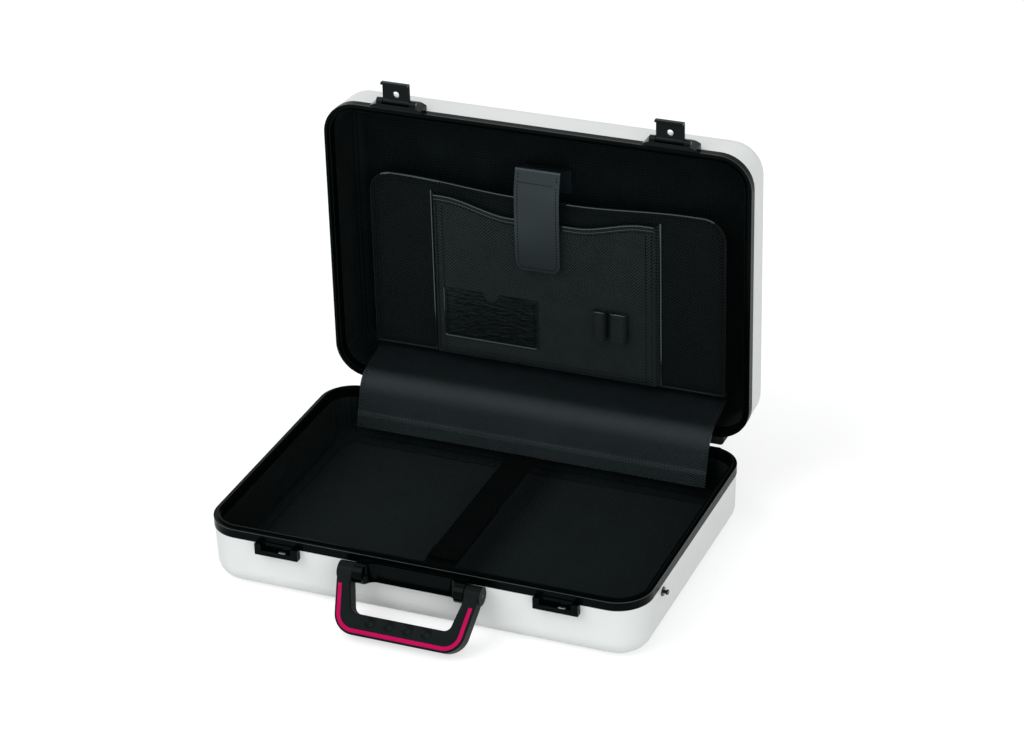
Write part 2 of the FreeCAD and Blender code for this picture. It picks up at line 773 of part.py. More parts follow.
grip_y = front - S.handle_pivot_proud
grip_z = S.base_height - S.handle_drop
root_inner = S.bracket_half + S.handle_side_gap
bow_root = root_inner + S.bow_arm
bracket = new_body("handle_bracket")
horn_front = grip_y - S.bracket_height / 2
horn_inner = S.bracket_half - S.horn_width
bracket_levels = (grip_z - S.bracket_height / 2, grip_z + S.bracket_height / 2)
plate_front = front - S.bracket_plate
outline = [
    (-S.bracket_half, front),
    (-S.bracket_half, horn_front),
    (-horn_inner, horn_front),
    (-horn_inner, plate_front),
    (horn_inner, plate_front),
    (horn_inner, horn_front),
    (S.bracket_half, horn_front),
    (S.bracket_half, front),
]
plate(bracket, outline, bracket_levels)
round_edges(bracket, S.horn_hollow, upright_at(plate_front, horn_inner))
round_edges(bracket, S.horn_round, lambda box: at(box.YMin, box.YMax, horn_front) and box.XLength > NEAR)
for side, way in sides.items():
    grip_inner = S.bracket_half - S.handle_pin_grip
    span = (grip_inner, S.bracket_half) if way > 0 else (-S.bracket_half, -grip_inner)
    rod(bracket, "YZ_Plane", (grip_y, grip_z), S.handle_pin_radius + S.fixed_play, span, cut=True)
    pin = new_body("handle_pin_" + side)
    span = (grip_inner, bow_root) if way > 0 else (-bow_root, -grip_inner)
    rod(pin, "YZ_Plane", (grip_y, grip_z), S.handle_pin_radius, span)
    finish(pin)
finish(bracket)

# Handle bow: drawn in its own plane with its pivots on the X axis, reaching along +Y, its upper face at -Z.
# It hangs until it meets the floor, or its own stop if the floor is too far away.

arm = S.bow_reach.number - S.bow_under_round.number
heel = S.bow_thickness.number / 2 - S.bow_under_round.number
fall = grip_z.number - S.bow_under_round.number - S.handle_floor_gap.number
droop = S.handle_hang_angle.number
if fall < math.hypot(arm, heel):
    on_floor = math.degrees(math.asin(fall / math.hypot(arm, heel)) - math.atan2(heel, arm))
    droop = min(droop, on_floor)
print("handle droop %.2f" % droop)
grip_place = FreeCAD.Placement(
    FreeCAD.Vector(0, grip_y.number, grip_z.number),
    FreeCAD.Rotation(FreeCAD.Vector(1, 0, 0), 180 + droop))

half_bow = S.bow_thickness / 2
bow_levels = (-half_bow, half_bow)


def bow_half_at(reach):
    """Half the bow's outer width at a distance from the pivots."""
    return bow_root - S.bow_taper * (size_of(reach) / S.bow_reach)


def band_outline(inset, start):
    """The bow's outer outline, set in from its edge, from a start distance to its tip."""
    tip = S.bow_reach - inset
    near = bow_half_at(start) - inset
    far = bow_half_at(tip) - inset
    return [(-near, start), (near, start), (far, tip), (-far, tip)]


stripe = new_body("handle_stripe")
stripe_levels = (-half_bow, -half_bow + S.stripe_depth)
stripe_inner = S.stripe_inset + S.stripe_width
plate(stripe, band_outline(S.stripe_inset, S.stripe_start), stripe_levels)
plate(stripe, band_outline(stripe_inner, S.stripe_start), stripe_levels, cut=True)
round_edges(stripe, S.bow_corner - stripe_inner, upright_at(S.bow_reach - stripe_inner))
round_edges(stripe, S.bow_corner - S.stripe_inset, upright_at(S.bow_reach - S.stripe_inset))

bow_blank = new_body("handle_bow_blank")
plate(bow_blank, band_outline(size_of(0), size_of(0)), bow_levels)
window_tip = root_inner - S.bow_window_taper
window = [
    (-root_inner, -S.bow_shoulder),
    (root_inner, -S.bow_shoulder),
    (root_inner, S.bow_shoulder),
    (window_tip, S.bow_window_reach),
    (-window_tip, S.bow_window_reach),
    (-root_inner, S.bow_shoulder),
]
plate(bow_blank, window, bow_levels, cut=True)
round_edges(bow_blank, S.bow_corner, upright_at(S.bow_reach))
round_edges(bow_blank, S.bow_window_corner, upright_at(S.bow_window_reach))


def bow_rim(level):
    """Edges of one face of the bow, apart from those across its two roots."""
    return lambda box: at(box.ZMin, box.ZMax, level) and box.YMax > NEAR


round_edges(bow_blank, S.bow_under_round, bow_rim(half_bow))
round_edges(bow_blank, S.bow_top_round, bow_rim(-half_bow))
for way in (-1, 1):
    span = (root_inner, bow_root) if way > 0 else (-bow_root, -root_inner)
    rod(bow_blank, "YZ_Plane", (0, 0), half_bow, span)
eye = (-bow_root, bow_root)
rod(bow_blank, "YZ_Plane", (0, 0), S.handle_pin_radius + S.running_play, eye, cut=True)
for step in (-1.5, -0.5, 0.5, 1.5):
    dimple = bow_blank.newObject("PartDesign::SubtractiveSphere", "handle_dimple")
    bind(dimple, "Radius", S.dimple_radius)
    bind(dimple, "Placement.Base.x", S.dimple_pitch * step)
    bind(dimple, "Placement.Base.y", S.dimple_reach)
    bind(dimple, "Placement.Base.z", -half_bow - S.dimple_radius + S.dimple_depth)
    doc.recompute()

bow = doc.addObject("Part::Cut", "handle_bow")
bow.Label = "handle_bow"
bow.Base = bow_blank
bow.Tool = stripe
doc.recompute()
bow.Placement = grip_place
stripe_piece = doc.addObject("Part::Compound", "handle_stripe_piece")
stripe.Label = "handle_stripe_blank"
stripe_piece.Label = "handle_stripe"
stripe_piece.Links = [stripe]
doc.recompute()
stripe_piece.Placement = grip_place
finish(bow)
finish(stripe_piece)

# Shoulder-strap studs: turned posts on the side walls, near the front

stud_z = S.base_height - S.stud_drop
for side, way in sides.items():
    stud = new_body("strap_stud_" + side)
    wall_x = half_width - S.frame_proud - (base_frame_foot - stud_z - S.stud_flange_radius) * lean
    runs = [
        (S.stud_flange_radius, S.stud_flange),
        (S.stud_neck_radius, S.stud_neck),
        (S.stud_head_radius, S.stud_head),
    ]
    inner = wall_x
    for radius, length in runs:
        outer = inner + length
        span = (inner, outer) if way > 0 else (-outer, -inner)
        rod(stud, "YZ_Plane", (front + S.stud_front, stud_z), radius, span)
        inner = outer
    finish(stud)

# Organiser: panel, gusset, front pocket, card pocket, pen loops


def along(distance):
    """The Y of a point on the shut lid, at a distance from the hinge axis."""
    return hinge_y - distance


def into(depth):
    """The height of a point in the shut lid, at a depth from the rim."""
    return hinge_z + depth


panel_half = half_width - S.panel_margin
panel_front = into(S.panel_depth)
panel_back = panel_front + S.panel_thickness
panel = new_body("document_panel", in_lid=True)
panel_y = (along(S.panel_top), along(S.panel_bottom))
block(panel, (-panel_half, panel_half), panel_y, (panel_front, panel_back))
round_edges(panel, S.panel_corner, upright_at(panel_y[0]))
finish(panel)

gusset_half = panel_half - S.gusset_inset
gusset_inner = gusset_half - S.gusset_wall
gusset_y = (panel_y[0] + S.panel_corner, panel_y[1] - S.gusset_inset)
gusset_floor = gusset_y[1] - S.gusset_wall
gusset_strips = {
    "left": ((-gusset_half, -gusset_inner), gusset_y),
    "right": ((gusset_inner, gusset_half), gusset_y),
    "bottom": ((-gusset_inner, gusset_inner), (gusset_floor, gusset_y[1])),
}
for name, (strip_x, strip_y) in gusset_strips.items():
    gusset = new_body("gusset_" + name, in_lid=True)
    block(gusset, strip_x, strip_y, (panel_back, lid_back))
    finish(gusset)

pocket = new_body("front_pocket", in_lid=True)
pocket_half = S.pocket_width / 2
pocket_face = panel_front - S.pocket_depth
pocket_y = (along(S.pocket_top), along(S.pocket_bottom))
block(pocket, (-pocket_half, pocket_half), pocket_y, (pocket_face, panel_front))
hollow_half = pocket_half - S.pocket_wall
hollow_y = (pocket_y[0], pocket_y[1] - S.pocket_wall)
block(pocket, (-hollow_half, hollow_half), hollow_y, (pocket_face + S.pocket_wall, panel_front), cut=True)
mouth = [
    (-hollow_half, pocket_y[0]),
    (hollow_half, pocket_y[0]),
    (hollow_half / 3, pocket_y[0] + S.pocket_dip),
    (-hollow_half / 3, pocket_y[0] + S.pocket_dip),
]
plate(pocket, mouth, (pocket_face, pocket_face + S.pocket_wall), cut=True)
finish(pocket)

card = new_body("card_pocket", in_lid=True)
card_x = (S.card_x - S.card_width / 2, S.card_x + S.card_width / 2)
card_y = (along(S.card_bottom + S.card_height), along(S.card_bottom))
card_levels = (pocket_face - S.card_thickness, pocket_face)
block(card, card_x, card_y, card_levels)
rod(card, "XY_Plane", (S.card_x, card_y[0]), S.card_notch_radius, card_levels, cut=True)
finish(card)

loop_places = {"left": (S.loop_left_x, S.loop_left_bore), "right": (S.loop_right_x, S.loop_right_bore)}
for side, (middle, bore) in loop_places.items():
    loop = new_body("pen_loop_" + side, in_lid=True)
    outer = bore / 2 + S.loop_wall
    loop_y = (along(S.loop_bottom + S.loop_length), along(S.loop_bottom))
    loop_top = pocket_face - S.loop_height - S.loop_wall
    block(loop, (middle - outer, middle + outer), loop_y, (loop_top, pocket_face))
    block(loop, (middle - bore / 2, middle + bore / 2), loop_y, (pocket_face - S.loop_height, pocket_face), cut=True)
    round_edges(loop, S.loop_round - S.loop_wall, lambda box: at(box.ZMin, box.ZMax, pocket_face - S.loop_height)
                and box.YLength > NEAR)
    round_edges(loop, S.loop_round, lambda box: at(box.ZMin, box.ZMax, loop_top) and box.YLength > NEAR)
    finish(loop)

# Closure tab: the flap hangs in front of the pockets from the fold of a strap sewn to the lid's back

tab_x = (S.tab_x - S.tab_width / 2, S.tab_x + S.tab_width / 2)
tab_back = pocket_face - S.tab_clear
tab_half = S.tab_thickness / 2
tab_anchor = new_body("tab_anchor", in_lid=True)
strip_y = (along(S.tab_fold) - tab_half, along(S.tab_fold) + tab_half)
block(tab_anchor, tab_x, strip_y, (tab_back + S.tab_fold_gap, lid_back))
foot_y = (strip_y[0], strip_y[1] + S.tab_foot)
block(tab_anchor, tab_x, foot_y, (lid_back - S.tab_thickness, lid_back))
finish(tab_anchor)

tab = new_body("closure_tab", in_lid=True)
tab_y = (along(S.tab_fold), along(S.tab_tip))
block(tab, tab_x, tab_y, (tab_back - S.tab_thickness, tab_back))
rod(tab, "YZ_Plane", (tab_y[0], tab_back - tab_half), tab_half, tab_x)
round_edges(tab, S.tab_corner, upright_at(tab_y[1]))
finish(tab)

# Apron: a leather sheet from the lid's back, over the rim and down into the base

apron = new_body("apron")
root_y = hinge_y + (lid_back - hinge_z) - S.apron_seat_gap
root_z = hinge_z + S.apron_root_rise
bend_y = hinge_y - S.apron_bend_in
bend_z = hinge_z + S.apron_bend_rise
hem_y = hinge_y - S.apron_hem_in
hem_z = hinge_z - S.apron_hem_drop
skin = S.apron_thickness
sheet_outline = [
    (root_y, root_z),
    (bend_y, bend_z),
    (hem_y, hem_z),
    (hem_y + skin, hem_z),
    (bend_y + skin, bend_z - skin),
    (root_y, root_z - skin),
]
profile(apron, sheet_outline, (S.apron_margin - half_width, half_width - S.apron_margin))
round_edges(apron, S.apron_bend_radius, across_at(bend_y, bend_z))
round_edges(apron, S.apron_bend_radius - skin, across_at(bend_y + skin, bend_z - skin))
finish(apron)

# Every piece has to be sound before any is written

doc.recompute()
for item in doc.Objects:
    if "Invalid" in item.State or "Error" in item.State:
        raise RuntimeError("%s failed to build" % item.Label)
for piece in parts:
    if piece.Shape.isNull() or not piece.Shape.isValid():
        raise RuntimeError("%s has no sound shape" % piece.Label)
    if piece.Shape.Volume <= 0:
        raise RuntimeError("%s is empty" % piece.Label)

os.makedirs("parts", exist_ok=True)
for piece in parts:
    piece.Shape.exportStep(os.path.join("parts", piece.Label + ".step"))
print("%d pieces" % len(parts))
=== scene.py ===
import math

import bmesh
import bpy
import numpy as np
from mathutils import Matrix, Vector


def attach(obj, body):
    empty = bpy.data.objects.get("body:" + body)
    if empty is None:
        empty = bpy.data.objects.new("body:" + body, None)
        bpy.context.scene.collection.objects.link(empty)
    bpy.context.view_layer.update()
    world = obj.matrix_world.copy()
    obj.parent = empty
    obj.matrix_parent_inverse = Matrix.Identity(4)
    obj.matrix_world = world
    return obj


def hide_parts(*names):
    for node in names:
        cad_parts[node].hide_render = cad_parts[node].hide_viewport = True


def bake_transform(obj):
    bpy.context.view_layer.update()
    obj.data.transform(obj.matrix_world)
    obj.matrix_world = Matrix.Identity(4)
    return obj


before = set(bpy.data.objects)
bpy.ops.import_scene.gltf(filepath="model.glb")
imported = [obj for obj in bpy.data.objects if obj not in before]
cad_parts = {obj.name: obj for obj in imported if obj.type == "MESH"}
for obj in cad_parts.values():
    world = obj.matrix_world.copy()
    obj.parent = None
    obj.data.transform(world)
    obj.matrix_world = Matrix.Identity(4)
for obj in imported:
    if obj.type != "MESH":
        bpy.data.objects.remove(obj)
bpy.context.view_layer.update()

# Shells: the two tubs of the case, vacuum-formed from white-silver ABS sheet.
# The mould leaves an even satin skin with a faint orange peel and a slight cloudiness.

MM = 0.001


def linear(code):
    """Linear red, green, blue and alpha of an sRGB hex colour."""
    shares = [int(code[start:start + 2], 16) / 255 for start in (1, 3, 5)]
    light = [share / 12.92 if share <= 0.04045 else ((share + 0.055) / 1.055) ** 2.4 for share in shares]
    return light + [1.0]


def add(tree, kind, inputs=None, **settings):
    """A new shader node with its settings; an input gets a value, a socket or a node's first output."""
    node = tree.nodes.new("ShaderNode" + kind)
    for setting, value in settings.items():
        setattr(node, setting, value)
    for socket, value in (inputs or {}).items():
        if isinstance(value, bpy.types.Node):
            value = value.outputs[0]
        if isinstance(value, bpy.types.NodeSocket):
            tree.links.new(value, node.inputs[socket])
        else:
            node.inputs[socket].default_value = value
    return node


def blank_finish(name):
    """An empty material, its node tree, and the place of a point on its piece in metres."""
    material = bpy.data.materials.new(name)
    material.use_nodes = True
    tree = material.node_tree
    tree.nodes.clear()
    return material, tree, add(tree, "TexCoord").outputs["Object"]


def complete(material, shade, dark, light, relief, surface):
    """Ends a finish: two tones mixed by a shade, its relief, and the surface with its own inputs."""
    tree = material.node_tree
    tone = add(tree, "Mix", {0: shade, 6: linear(dark), 7: linear(light)}, data_type="RGBA")
    bump = add(tree, "Bump", relief)
    surface = add(tree, "BsdfPrincipled", {"Base Color": tone.outputs[2], "Normal": bump, **surface})
    add(tree, "OutputMaterial", {"Surface": surface})
    return material


def moulded(name, dark, light, roughness, grit, depth,
            edge=0.0, ior=1.5, shine=0.5, tint=(1.0, 1.0, 1.0, 1.0)):
    """Moulded plastic or rubber: slightly cloudy, unevenly glossy, with a fine skin. Sizes in mm."""
    material, tree, place = blank_finish(name)
    cloud_size, touch_size = 60, 11
    cloud = add(tree, "TexNoise", {"Vector": place, "Scale": 1 / (cloud_size * MM), "Detail": 3.0})
    touch = add(tree, "TexNoise", {"Vector": place, "Scale": 1 / (touch_size * MM), "Detail": 4.0})
    gloss = add(tree, "MapRange", {
        "Value": touch, "From Min": 0.3, "From Max": 0.7,
        "To Min": roughness * 0.88, "To Max": roughness * 1.12})
    peel = add(tree, "TexNoise", {"Vector": place, "Scale": 1 / (grit * MM), "Detail": 2.0})
    corner = add(tree, "Bevel", {"Radius": edge * MM}, samples=6)
    relief = {"Height": peel, "Distance": depth * MM, "Normal": corner}
    surface = {"Roughness": gloss, "IOR": ior, "Specular IOR Level": shine, "Specular Tint": tint}
    return complete(material, cloud, dark, light, relief, surface)


def dress(material, *nodes):
    """Gives these solids a finish."""
    for node in nodes:
        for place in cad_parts[node].material_slots:
            place.material = material


# Satin ABS: a pale, even sheen without sharp reflections.
satin_abs = moulded("vacuum_formed_satin_abs", "#e6eae9", "#f0f3f2", 0.4, 3.0, 0.02,
                    edge=0.4, ior=1.54, shine=0.28)
dress(satin_abs, "base_shell", "lid_shell")

# Rim profiles: black PVC extrusions that clamp shell and lining together round both rims.
# The die leaves a satin skin; a thin bead runs along the outer edge, coloured grey as a painted highlight
# line.

# The reflections of most black finishes are tinted cool and their dark tones lean cyan: a painted cool cast
# of the studio light.
painted_cool_cast = (0.76, 0.95, 0.98, 1.0)
# Satin PVC: deep black, with a faint soft streak along its round edges.
satin_pvc = moulded("extruded_satin_pvc", "#010303", "#030606", 0.24, 2.0, 0.012,
                    edge=0.6, ior=1.53, shine=0.04, tint=painted_cool_cast)
dress(satin_pvc, "base_frame", "lid_frame")

# All forms are drawn in mm, and become metres when their piece is made.
case_half_x, case_half_s, case_corner = 235.0, 160.0, 36.0


def case_loop(inset, least=2.0, corner_steps=8):
    """Points (across, along) round the case's outline at an inset, the same count on every loop."""
    half_x, half_s = case_half_x - inset, case_half_s - inset
    radius = max(case_corner - inset, least)
    edge_steps = (26, 38)
    corners = [(1, -1), (1, 1), (-1, 1), (-1, -1)]
    points = []
    for turn, (way_x, way_s) in enumerate(corners):
        middle = np.array([way_x * (half_x - radius), way_s * (half_s - radius)])
        for step in range(corner_steps + 1):
            angle = math.radians(90 * (turn - 1 + step / corner_steps))
            points.append(middle + radius * np.array([math.cos(angle), math.sin(angle)]))
        onward = np.array(corners[(turn + 1) % 4])
        reach = radius * np.array([math.cos(math.radians(90 * turn)), math.sin(math.radians(90 * turn))])
        goal = onward * np.array([half_x - radius, half_s - radius]) + reach
        count = edge_steps[turn % 2]
        first = points[-1]
        points += [first + (goal - first) * step / count for step in range(1, count)]
    return np.array(points)


def tube(path, radius, sides=8, closed=False):
    """Points and faces of a round cord or bead that follows a path."""
    path = np.array(path, float)
    ahead = np.roll(path, -1, axis=0) - np.roll(path, 1, axis=0)
    if not closed:
        ahead[0] = path[1] - path[0]
        ahead[-1] = path[-1] - path[-2]
    ahead /= np.linalg.norm(ahead, axis=1)[:, None]
    slanted = [0.31, 0.52, 0.79]
    side = np.cross(ahead[0], slanted)
    points, faces = [], []
    for place, way in zip(path, ahead):
        side = side - way * side.dot(way)
        side /= np.linalg.norm(side)
        up = np.cross(way, side)
        for step in range(sides):
            angle = 2 * math.pi * step / sides
            points.append(place + radius * (math.cos(angle) * side + math.sin(angle) * up))
    count = len(path)
    for ring in range(count if closed else count - 1):
        for step in range(sides):
            low, high = ring * sides, (ring + 1) % count * sides
            onward = (step + 1) % sides
            faces.append((low + step, low + onward, high + onward, high + step))
    if not closed:
        faces.append(tuple(range(sides))[::-1])
        faces.append(tuple(range((count - 1) * sides, count * sides)))
    return points, faces


def piece(name, body, parts):
    """One object from parts, each (points, faces, material), riding on a body of the case."""
    sharp_edge = math.radians(40)
    points, faces, finishes, finish_of = [], [], [], []
    for part_points, part_faces, material in parts:
        shift = len(points)
        points += [tuple(value * MM for value in point) for point in part_points]
        faces += [tuple(corner + shift for corner in face) for face in part_faces]
        if material not in finishes:
            finishes.append(material)
        finish_of += [finishes.index(material)] * len(part_faces)
    mesh = bpy.data.meshes.new(name)
    mesh.from_pydata(points, [], faces)
    for material in finishes:
        mesh.materials.append(material)
    mesh.polygons.foreach_set("material_index", finish_of)
    work = bmesh.new()
    work.from_mesh(mesh)
    bmesh.ops.recalc_face_normals(work, faces=work.faces)
    work.to_mesh(mesh)
    work.free()
    mesh.shade_smooth()
    mesh.set_sharp_from_angle(angle=sharp_edge)
    made = bpy.data.objects.new(name, mesh)
    bpy.context.scene.collection.objects.link(made)
    if body:
        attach(made, body)
    return made


# Bead: black PVC coloured dark grey as a painted highlight line, with a narrow highlight of its own from the
# lamps.
highlight_bead_pvc = moulded("pvc_bead_painted_highlight", "#232526", "#2c2e2f", 0.25, 2.0, 0.01, ior=1.53)
bead_inset, bead_radius = 0.4, 0.55
base_rim_level, lid_rim_face, lid_middle = 67.1, 169.5, 235.5
bead_outline = case_loop(bead_inset, corner_steps=24)
base_bead = [(x, y, base_rim_level) for x, y in bead_outline]
lid_bead = [(x, lid_rim_face, lid_middle + s) for x, s in bead_outline]
for name, body, path in (("base_bead", "base", base_bead), ("lid_bead", "lid", lid_bead)):
    piece(name, body, [(*tube(path, bead_radius, closed=True), highlight_bead_pvc)])

# Linings: black ribbed nylon cloth, cut and sewn to a tub and glued inside each shell.
# It lies a little wavy on the walls and puckers where it is gathered into the corners.


def woven(name, dark, light, thread, depth, roughness, sheen=0.02, shine=0.07):
    """Woven cloth: ribs of thread along all three directions, broken up by fuzz, its tone painted darker in
    the grooves between ribs as shade. Sizes in mm.
    """
    material, tree, place = blank_finish(name)
    fuzz_size, fade_size, per_metre = 1.1, 45, 2 * math.pi / (thread * MM)
    split = add(tree, "SeparateXYZ", {"Vector": place})
    ribs = None
    for axis in "XYZ":
        turn = add(tree, "Math", {0: split.outputs[axis], 1: per_metre}, operation="MULTIPLY")
        rib = add(tree, "Math", {0: turn}, operation="SINE")
        if ribs is not None:
            rib = add(tree, "Math", {0: ribs, 1: rib}, operation="ADD")
        ribs = rib
    fuzz = add(tree, "TexNoise", {"Vector": place, "Scale": 1 / (fuzz_size * MM), "Detail": 3.0})
    height = add(tree, "Math", {0: ribs, 1: 0.35, 2: fuzz}, operation="MULTIPLY_ADD")
    fade = add(tree, "TexNoise", {"Vector": place, "Scale": 1 / (fade_size * MM), "Detail": 4.0})
    # The tone follows the rib height as well as the fuzz and fade: painted shade in the grooves.
    shade = add(tree, "Math", {0: height, 1: 0.5, 2: fade}, operation="MULTIPLY_ADD")
    relief = {"Height": height, "Distance": depth * MM}
    surface = {"Roughness": roughness, "Specular IOR Level": shine, "Specular Tint": painted_cool_cast,
               "Sheen Weight": sheen, "Sheen Roughness": 0.45}
    return complete(material, shade, dark, light, relief, surface)


# Ribbed nylon: near black and dull, with fine lines, partly painted shade, that fade in and out.
# The rib of the real cloth is about 0.7 mm, which is drawn at 3.2 mm so that it shows.
ribbed_nylon = woven("ribbed_nylon_lining", "#000000", "#0d1313", 3.2, 0.3, 0.7, shine=0.05)


def lining_tub(depth, puckers):
    """Rows of points (across, along, drop) of a lining, from the rim down the wall and over the floor."""
    rim_inset, fillet = 6.5, 15.5
    lean = math.tan(math.radians(1.5))
    profile = [(rim_inset + drop * lean, drop) for drop in np.linspace(0, depth - fillet, 12)]
    foot = profile[-1][0]
    for step in range(1, 9):
        angle = math.radians(90 * step / 8)
        profile.append((foot + fillet * (1 - math.cos(angle)), depth - fillet + fillet * math.sin(angle)))
    profile += [(profile[-1][0] + further, depth) for further in (10, 40, 80)]
    waves, drifts, gathers, wave_lift = 17, 5, 150, 0.3
    rows = []
    for inset, drop in profile:
        loop = case_loop(inset, least=3.0)
        inner = case_loop(inset + 1)
        turns = np.arange(len(loop)) / len(loop)
        wave = np.sin(2 * math.pi * waves * turns + 3 * np.sin(2 * math.pi * drifts * turns))
        slack = math.sin(math.pi * (drop / depth)) ** 0.7 if drop < depth else 0.0
        lift = wave_lift * (1 + wave) * slack
        for place, width, size in puckers:
            gather = np.exp(-((turns - place) / width) ** 2)
            lift = lift + size * gather * slack * (1 + np.sin(2 * math.pi * gathers * turns + drop / 4))
        flat = loop + (inner - loop) * lift[:, None]
        rows.append([(x, s, drop) for x, s in flat])
    return rows


def skin(rows, thick=0.0, closed=False, centre=False):
    """Points and faces of a sheet through rows of points; a thickness gives it a back and a closed edge."""
    rows = np.array(rows, float)
    count, length = rows.shape[:2]
    faces = []
    for row in range(count - 1):
        low, high = row * length, (row + 1) * length
        for step in range(length if closed else length - 1):
            onward = (step + 1) % length
            faces.append((low + step, low + onward, high + onward, high + step))
    points = [tuple(point) for point in rows.reshape(-1, 3)]
    if centre:
        points.append(tuple(rows[-1].mean(axis=0)))
        last = (count - 1) * length
        faces += [(last + step, last + (step + 1) % length, len(points) - 1) for step in range(length)]
    if thick:
        across, down = np.gradient(rows, axis=1), np.gradient(rows, axis=0)
        out = np.cross(across, down)
        out /= np.maximum(np.linalg.norm(out, axis=2), 1e-12)[:, :, None]
        behind = len(points)
        points += [tuple(point) for point in (rows - out * thick).reshape(-1, 3)]
        faces += [tuple(corner + behind for corner in reversed(face)) for face in faces]
        top = [(0, step) for step in range(length)]
        right = [(row, length - 1) for row in range(count)]
        foot = [(count - 1, step) for step in reversed(range(length))]
        left = [(row, 0) for row in reversed(range(count))]
        rim = [row * length + step for row, step in top + right[1:] + foot[1:] + left[1:]]
        faces += [(one, two, two + behind, one + behind) for one, two in zip(rim[1:], rim[:-1])]
    return points, faces


# The base's cloth is gathered at one rear corner: its place round the rim, its width and its height.
corner_gather = (0.63, 0.012, 0.9)
base_cloth_top, base_cloth_depth = 57.5, 53.0
lid_cloth_front, lid_cloth_depth = 178.0, 45.2
base_rows = [[(x, s, base_cloth_top - drop) for x, s, drop in row]
             for row in lining_tub(base_cloth_depth, [corner_gather])]
base_skin = skin(base_rows, closed=True, centre=True)
base_lining = piece("base_lining_cloth", "base", [(*base_skin, ribbed_nylon)])
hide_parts("base_lining")
lid_rows = [[(x, lid_cloth_front + drop, lid_middle + s) for x, s, drop in row]
            for row in lining_tub(lid_cloth_depth, [])]
lid_skin = skin(lid_rows, closed=True, centre=True)
lid_lining = piece("lid_lining_cloth", "lid", [(*lid_skin, ribbed_nylon)])
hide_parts("lid_lining")

# Floor pad: thin foam covered in the lining's cloth, laid in the base as its soft floor.
# Its edge is sewn down by one row of stitches, so the field inside it stands up as a low crown.

# Foam-backed nylon: a shade lighter than the lining, dull and soft.
# Its rib is drawn at 2.4 mm so that it shows.
foam_laminate = woven("foam_backed_nylon", "#06090a", "#101617", 2.4, 0.3, 0.75)
# Threads: the plain one is dull and sinks into the cloth, the waxed one has a faint shine on leather.
black_thread = moulded("black_polyester_thread", "#030303", "#080808", 0.6, 0.8, 0.05, shine=0.04)
waxed_thread = moulded("waxed_polyester_thread", "#010101", "#050505", 0.45, 0.8, 0.05, shine=0.05)


def stitches(path, outward, pitch=3.6, length=2.0, radius=0.6):
    """Sewn stitches along a path: each is a short round thread whose ends dip into the sheet."""
    shares, sizes = (-0.5, -0.3, 0, 0.3, 0.5), (0.3, 0.9, 1.0, 0.9, 0.3)
    lifts = (-0.2, 0.05, 0.15, 0.05, -0.2)
    sides = 5
    path = np.array(path, float)
    runs = np.linalg.norm(np.diff(path, axis=0), axis=1)
    reach = np.concatenate([[0], np.cumsum(runs)])
    outward = np.broadcast_to(np.array(outward, float), path.shape)
    points, faces = [], []
    for stitch in range(int(reach[-1] / pitch)):
        middle = (stitch + 0.5) * pitch
        spots = [middle + share * length for share in shares]
        line = [np.array([np.interp(spot, reach, path[:, axis]) for axis in range(3)]) for spot in spots]
        up = np.array([np.interp(middle, reach, outward[:, axis]) for axis in range(3)])
        way = line[-1] - line[0]
        way /= np.linalg.norm(way)
        side = np.cross(way, up)
        first = len(points)
        for place, size, lift in zip(line, sizes, lifts):
            for step in range(sides):
                angle = 2 * math.pi * step / sides
                ring = math.cos(angle) * side + math.sin(angle) * up
                points.append(place + up * lift + ring * size * radius)
        for ring in range(len(line) - 1):
            low, high = first + ring * sides, first + (ring + 1) * sides
            for step in range(sides):
                onward = (step + 1) % sides
                faces.append((low + step, low + onward, high + onward, high + step))
    return points, faces


upward, forward = (0, 0, 1), (0, -1, 0)
# The pad's section: insets from the case's outline and levels, from the underside over the edge to the crown.
pad_profile = [(23.0, 4.7), (17.0, 6.0), (13.0, 7.8), (11.9, 8.9), (12.4, 9.6), (14.0, 9.9), (18.0, 9.8),
               (21.0, 9.3), (22.0, 9.2), (23.0, 9.3), (27.0, 9.9), (36.0, 10.1), (60.0, 10.2), (100.0, 10.2),
               (140.0, 10.2)]
pad_rows = [[(x, y, level) for x, y in case_loop(inset)] for inset, level in pad_profile]
pad_points, pad_faces = skin(pad_rows, closed=True, centre=True)
pad_faces.append(tuple(range(len(pad_rows[0])))[::-1])
floor_pad = piece("floor_pad_foam", "base", [(pad_points, pad_faces, foam_laminate)])
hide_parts("floor_pad")
seam_inset, seam_level = 22.0, 9.35
pad_seam = [(x, y, seam_level) for x, y in case_loop(seam_inset)]
piece("floor_pad_stitches", "base", [(*stitches(pad_seam, upward), black_thread)])

# Hold-down strap: two lengths of black loop-pile webbing that overlap in the middle of the base.
# Each is sewn to a folded anchor on the lining; the rear one ends in a thick folded and sewn hem.

# Loop pile: the deepest black of the case, as it swallows the light.
# The pile is about 0.5 mm fine; it is drawn at 2.6 mm so that it shows.
pile_webbing = woven("loop_pile_webbing", "#000000", "#080b0b", 2.6, 0.9, 0.85, sheen=0.0, shine=0.02)
strap_half, strap_thick = 16.1, 1.3


def spread(half, count):
    """Even places from one side of a middle to the other."""
    return np.linspace(-half, half, count)


def strap_part(line):
    """A band of webbing along a line of (y, z), slightly crowned between its two thicker selvedges."""
    crown, selvedge_inset, selvedge_radius = 0.25, 0.4, 0.85
    places = spread(1, 13)
    rows = [[(place * strap_half, y, z - crown * (1 - place ** 2)) for place in places] for y, z in line]
    parts = [(*skin(rows, strap_thick), pile_webbing)]
    for way in (-1, 1):
        edge = [(way * (strap_half - selvedge_inset), y, z - strap_thick / 2) for y, z in line]
        parts.append((*tube(edge, selvedge_radius, sides=6), pile_webbing))
    return parts


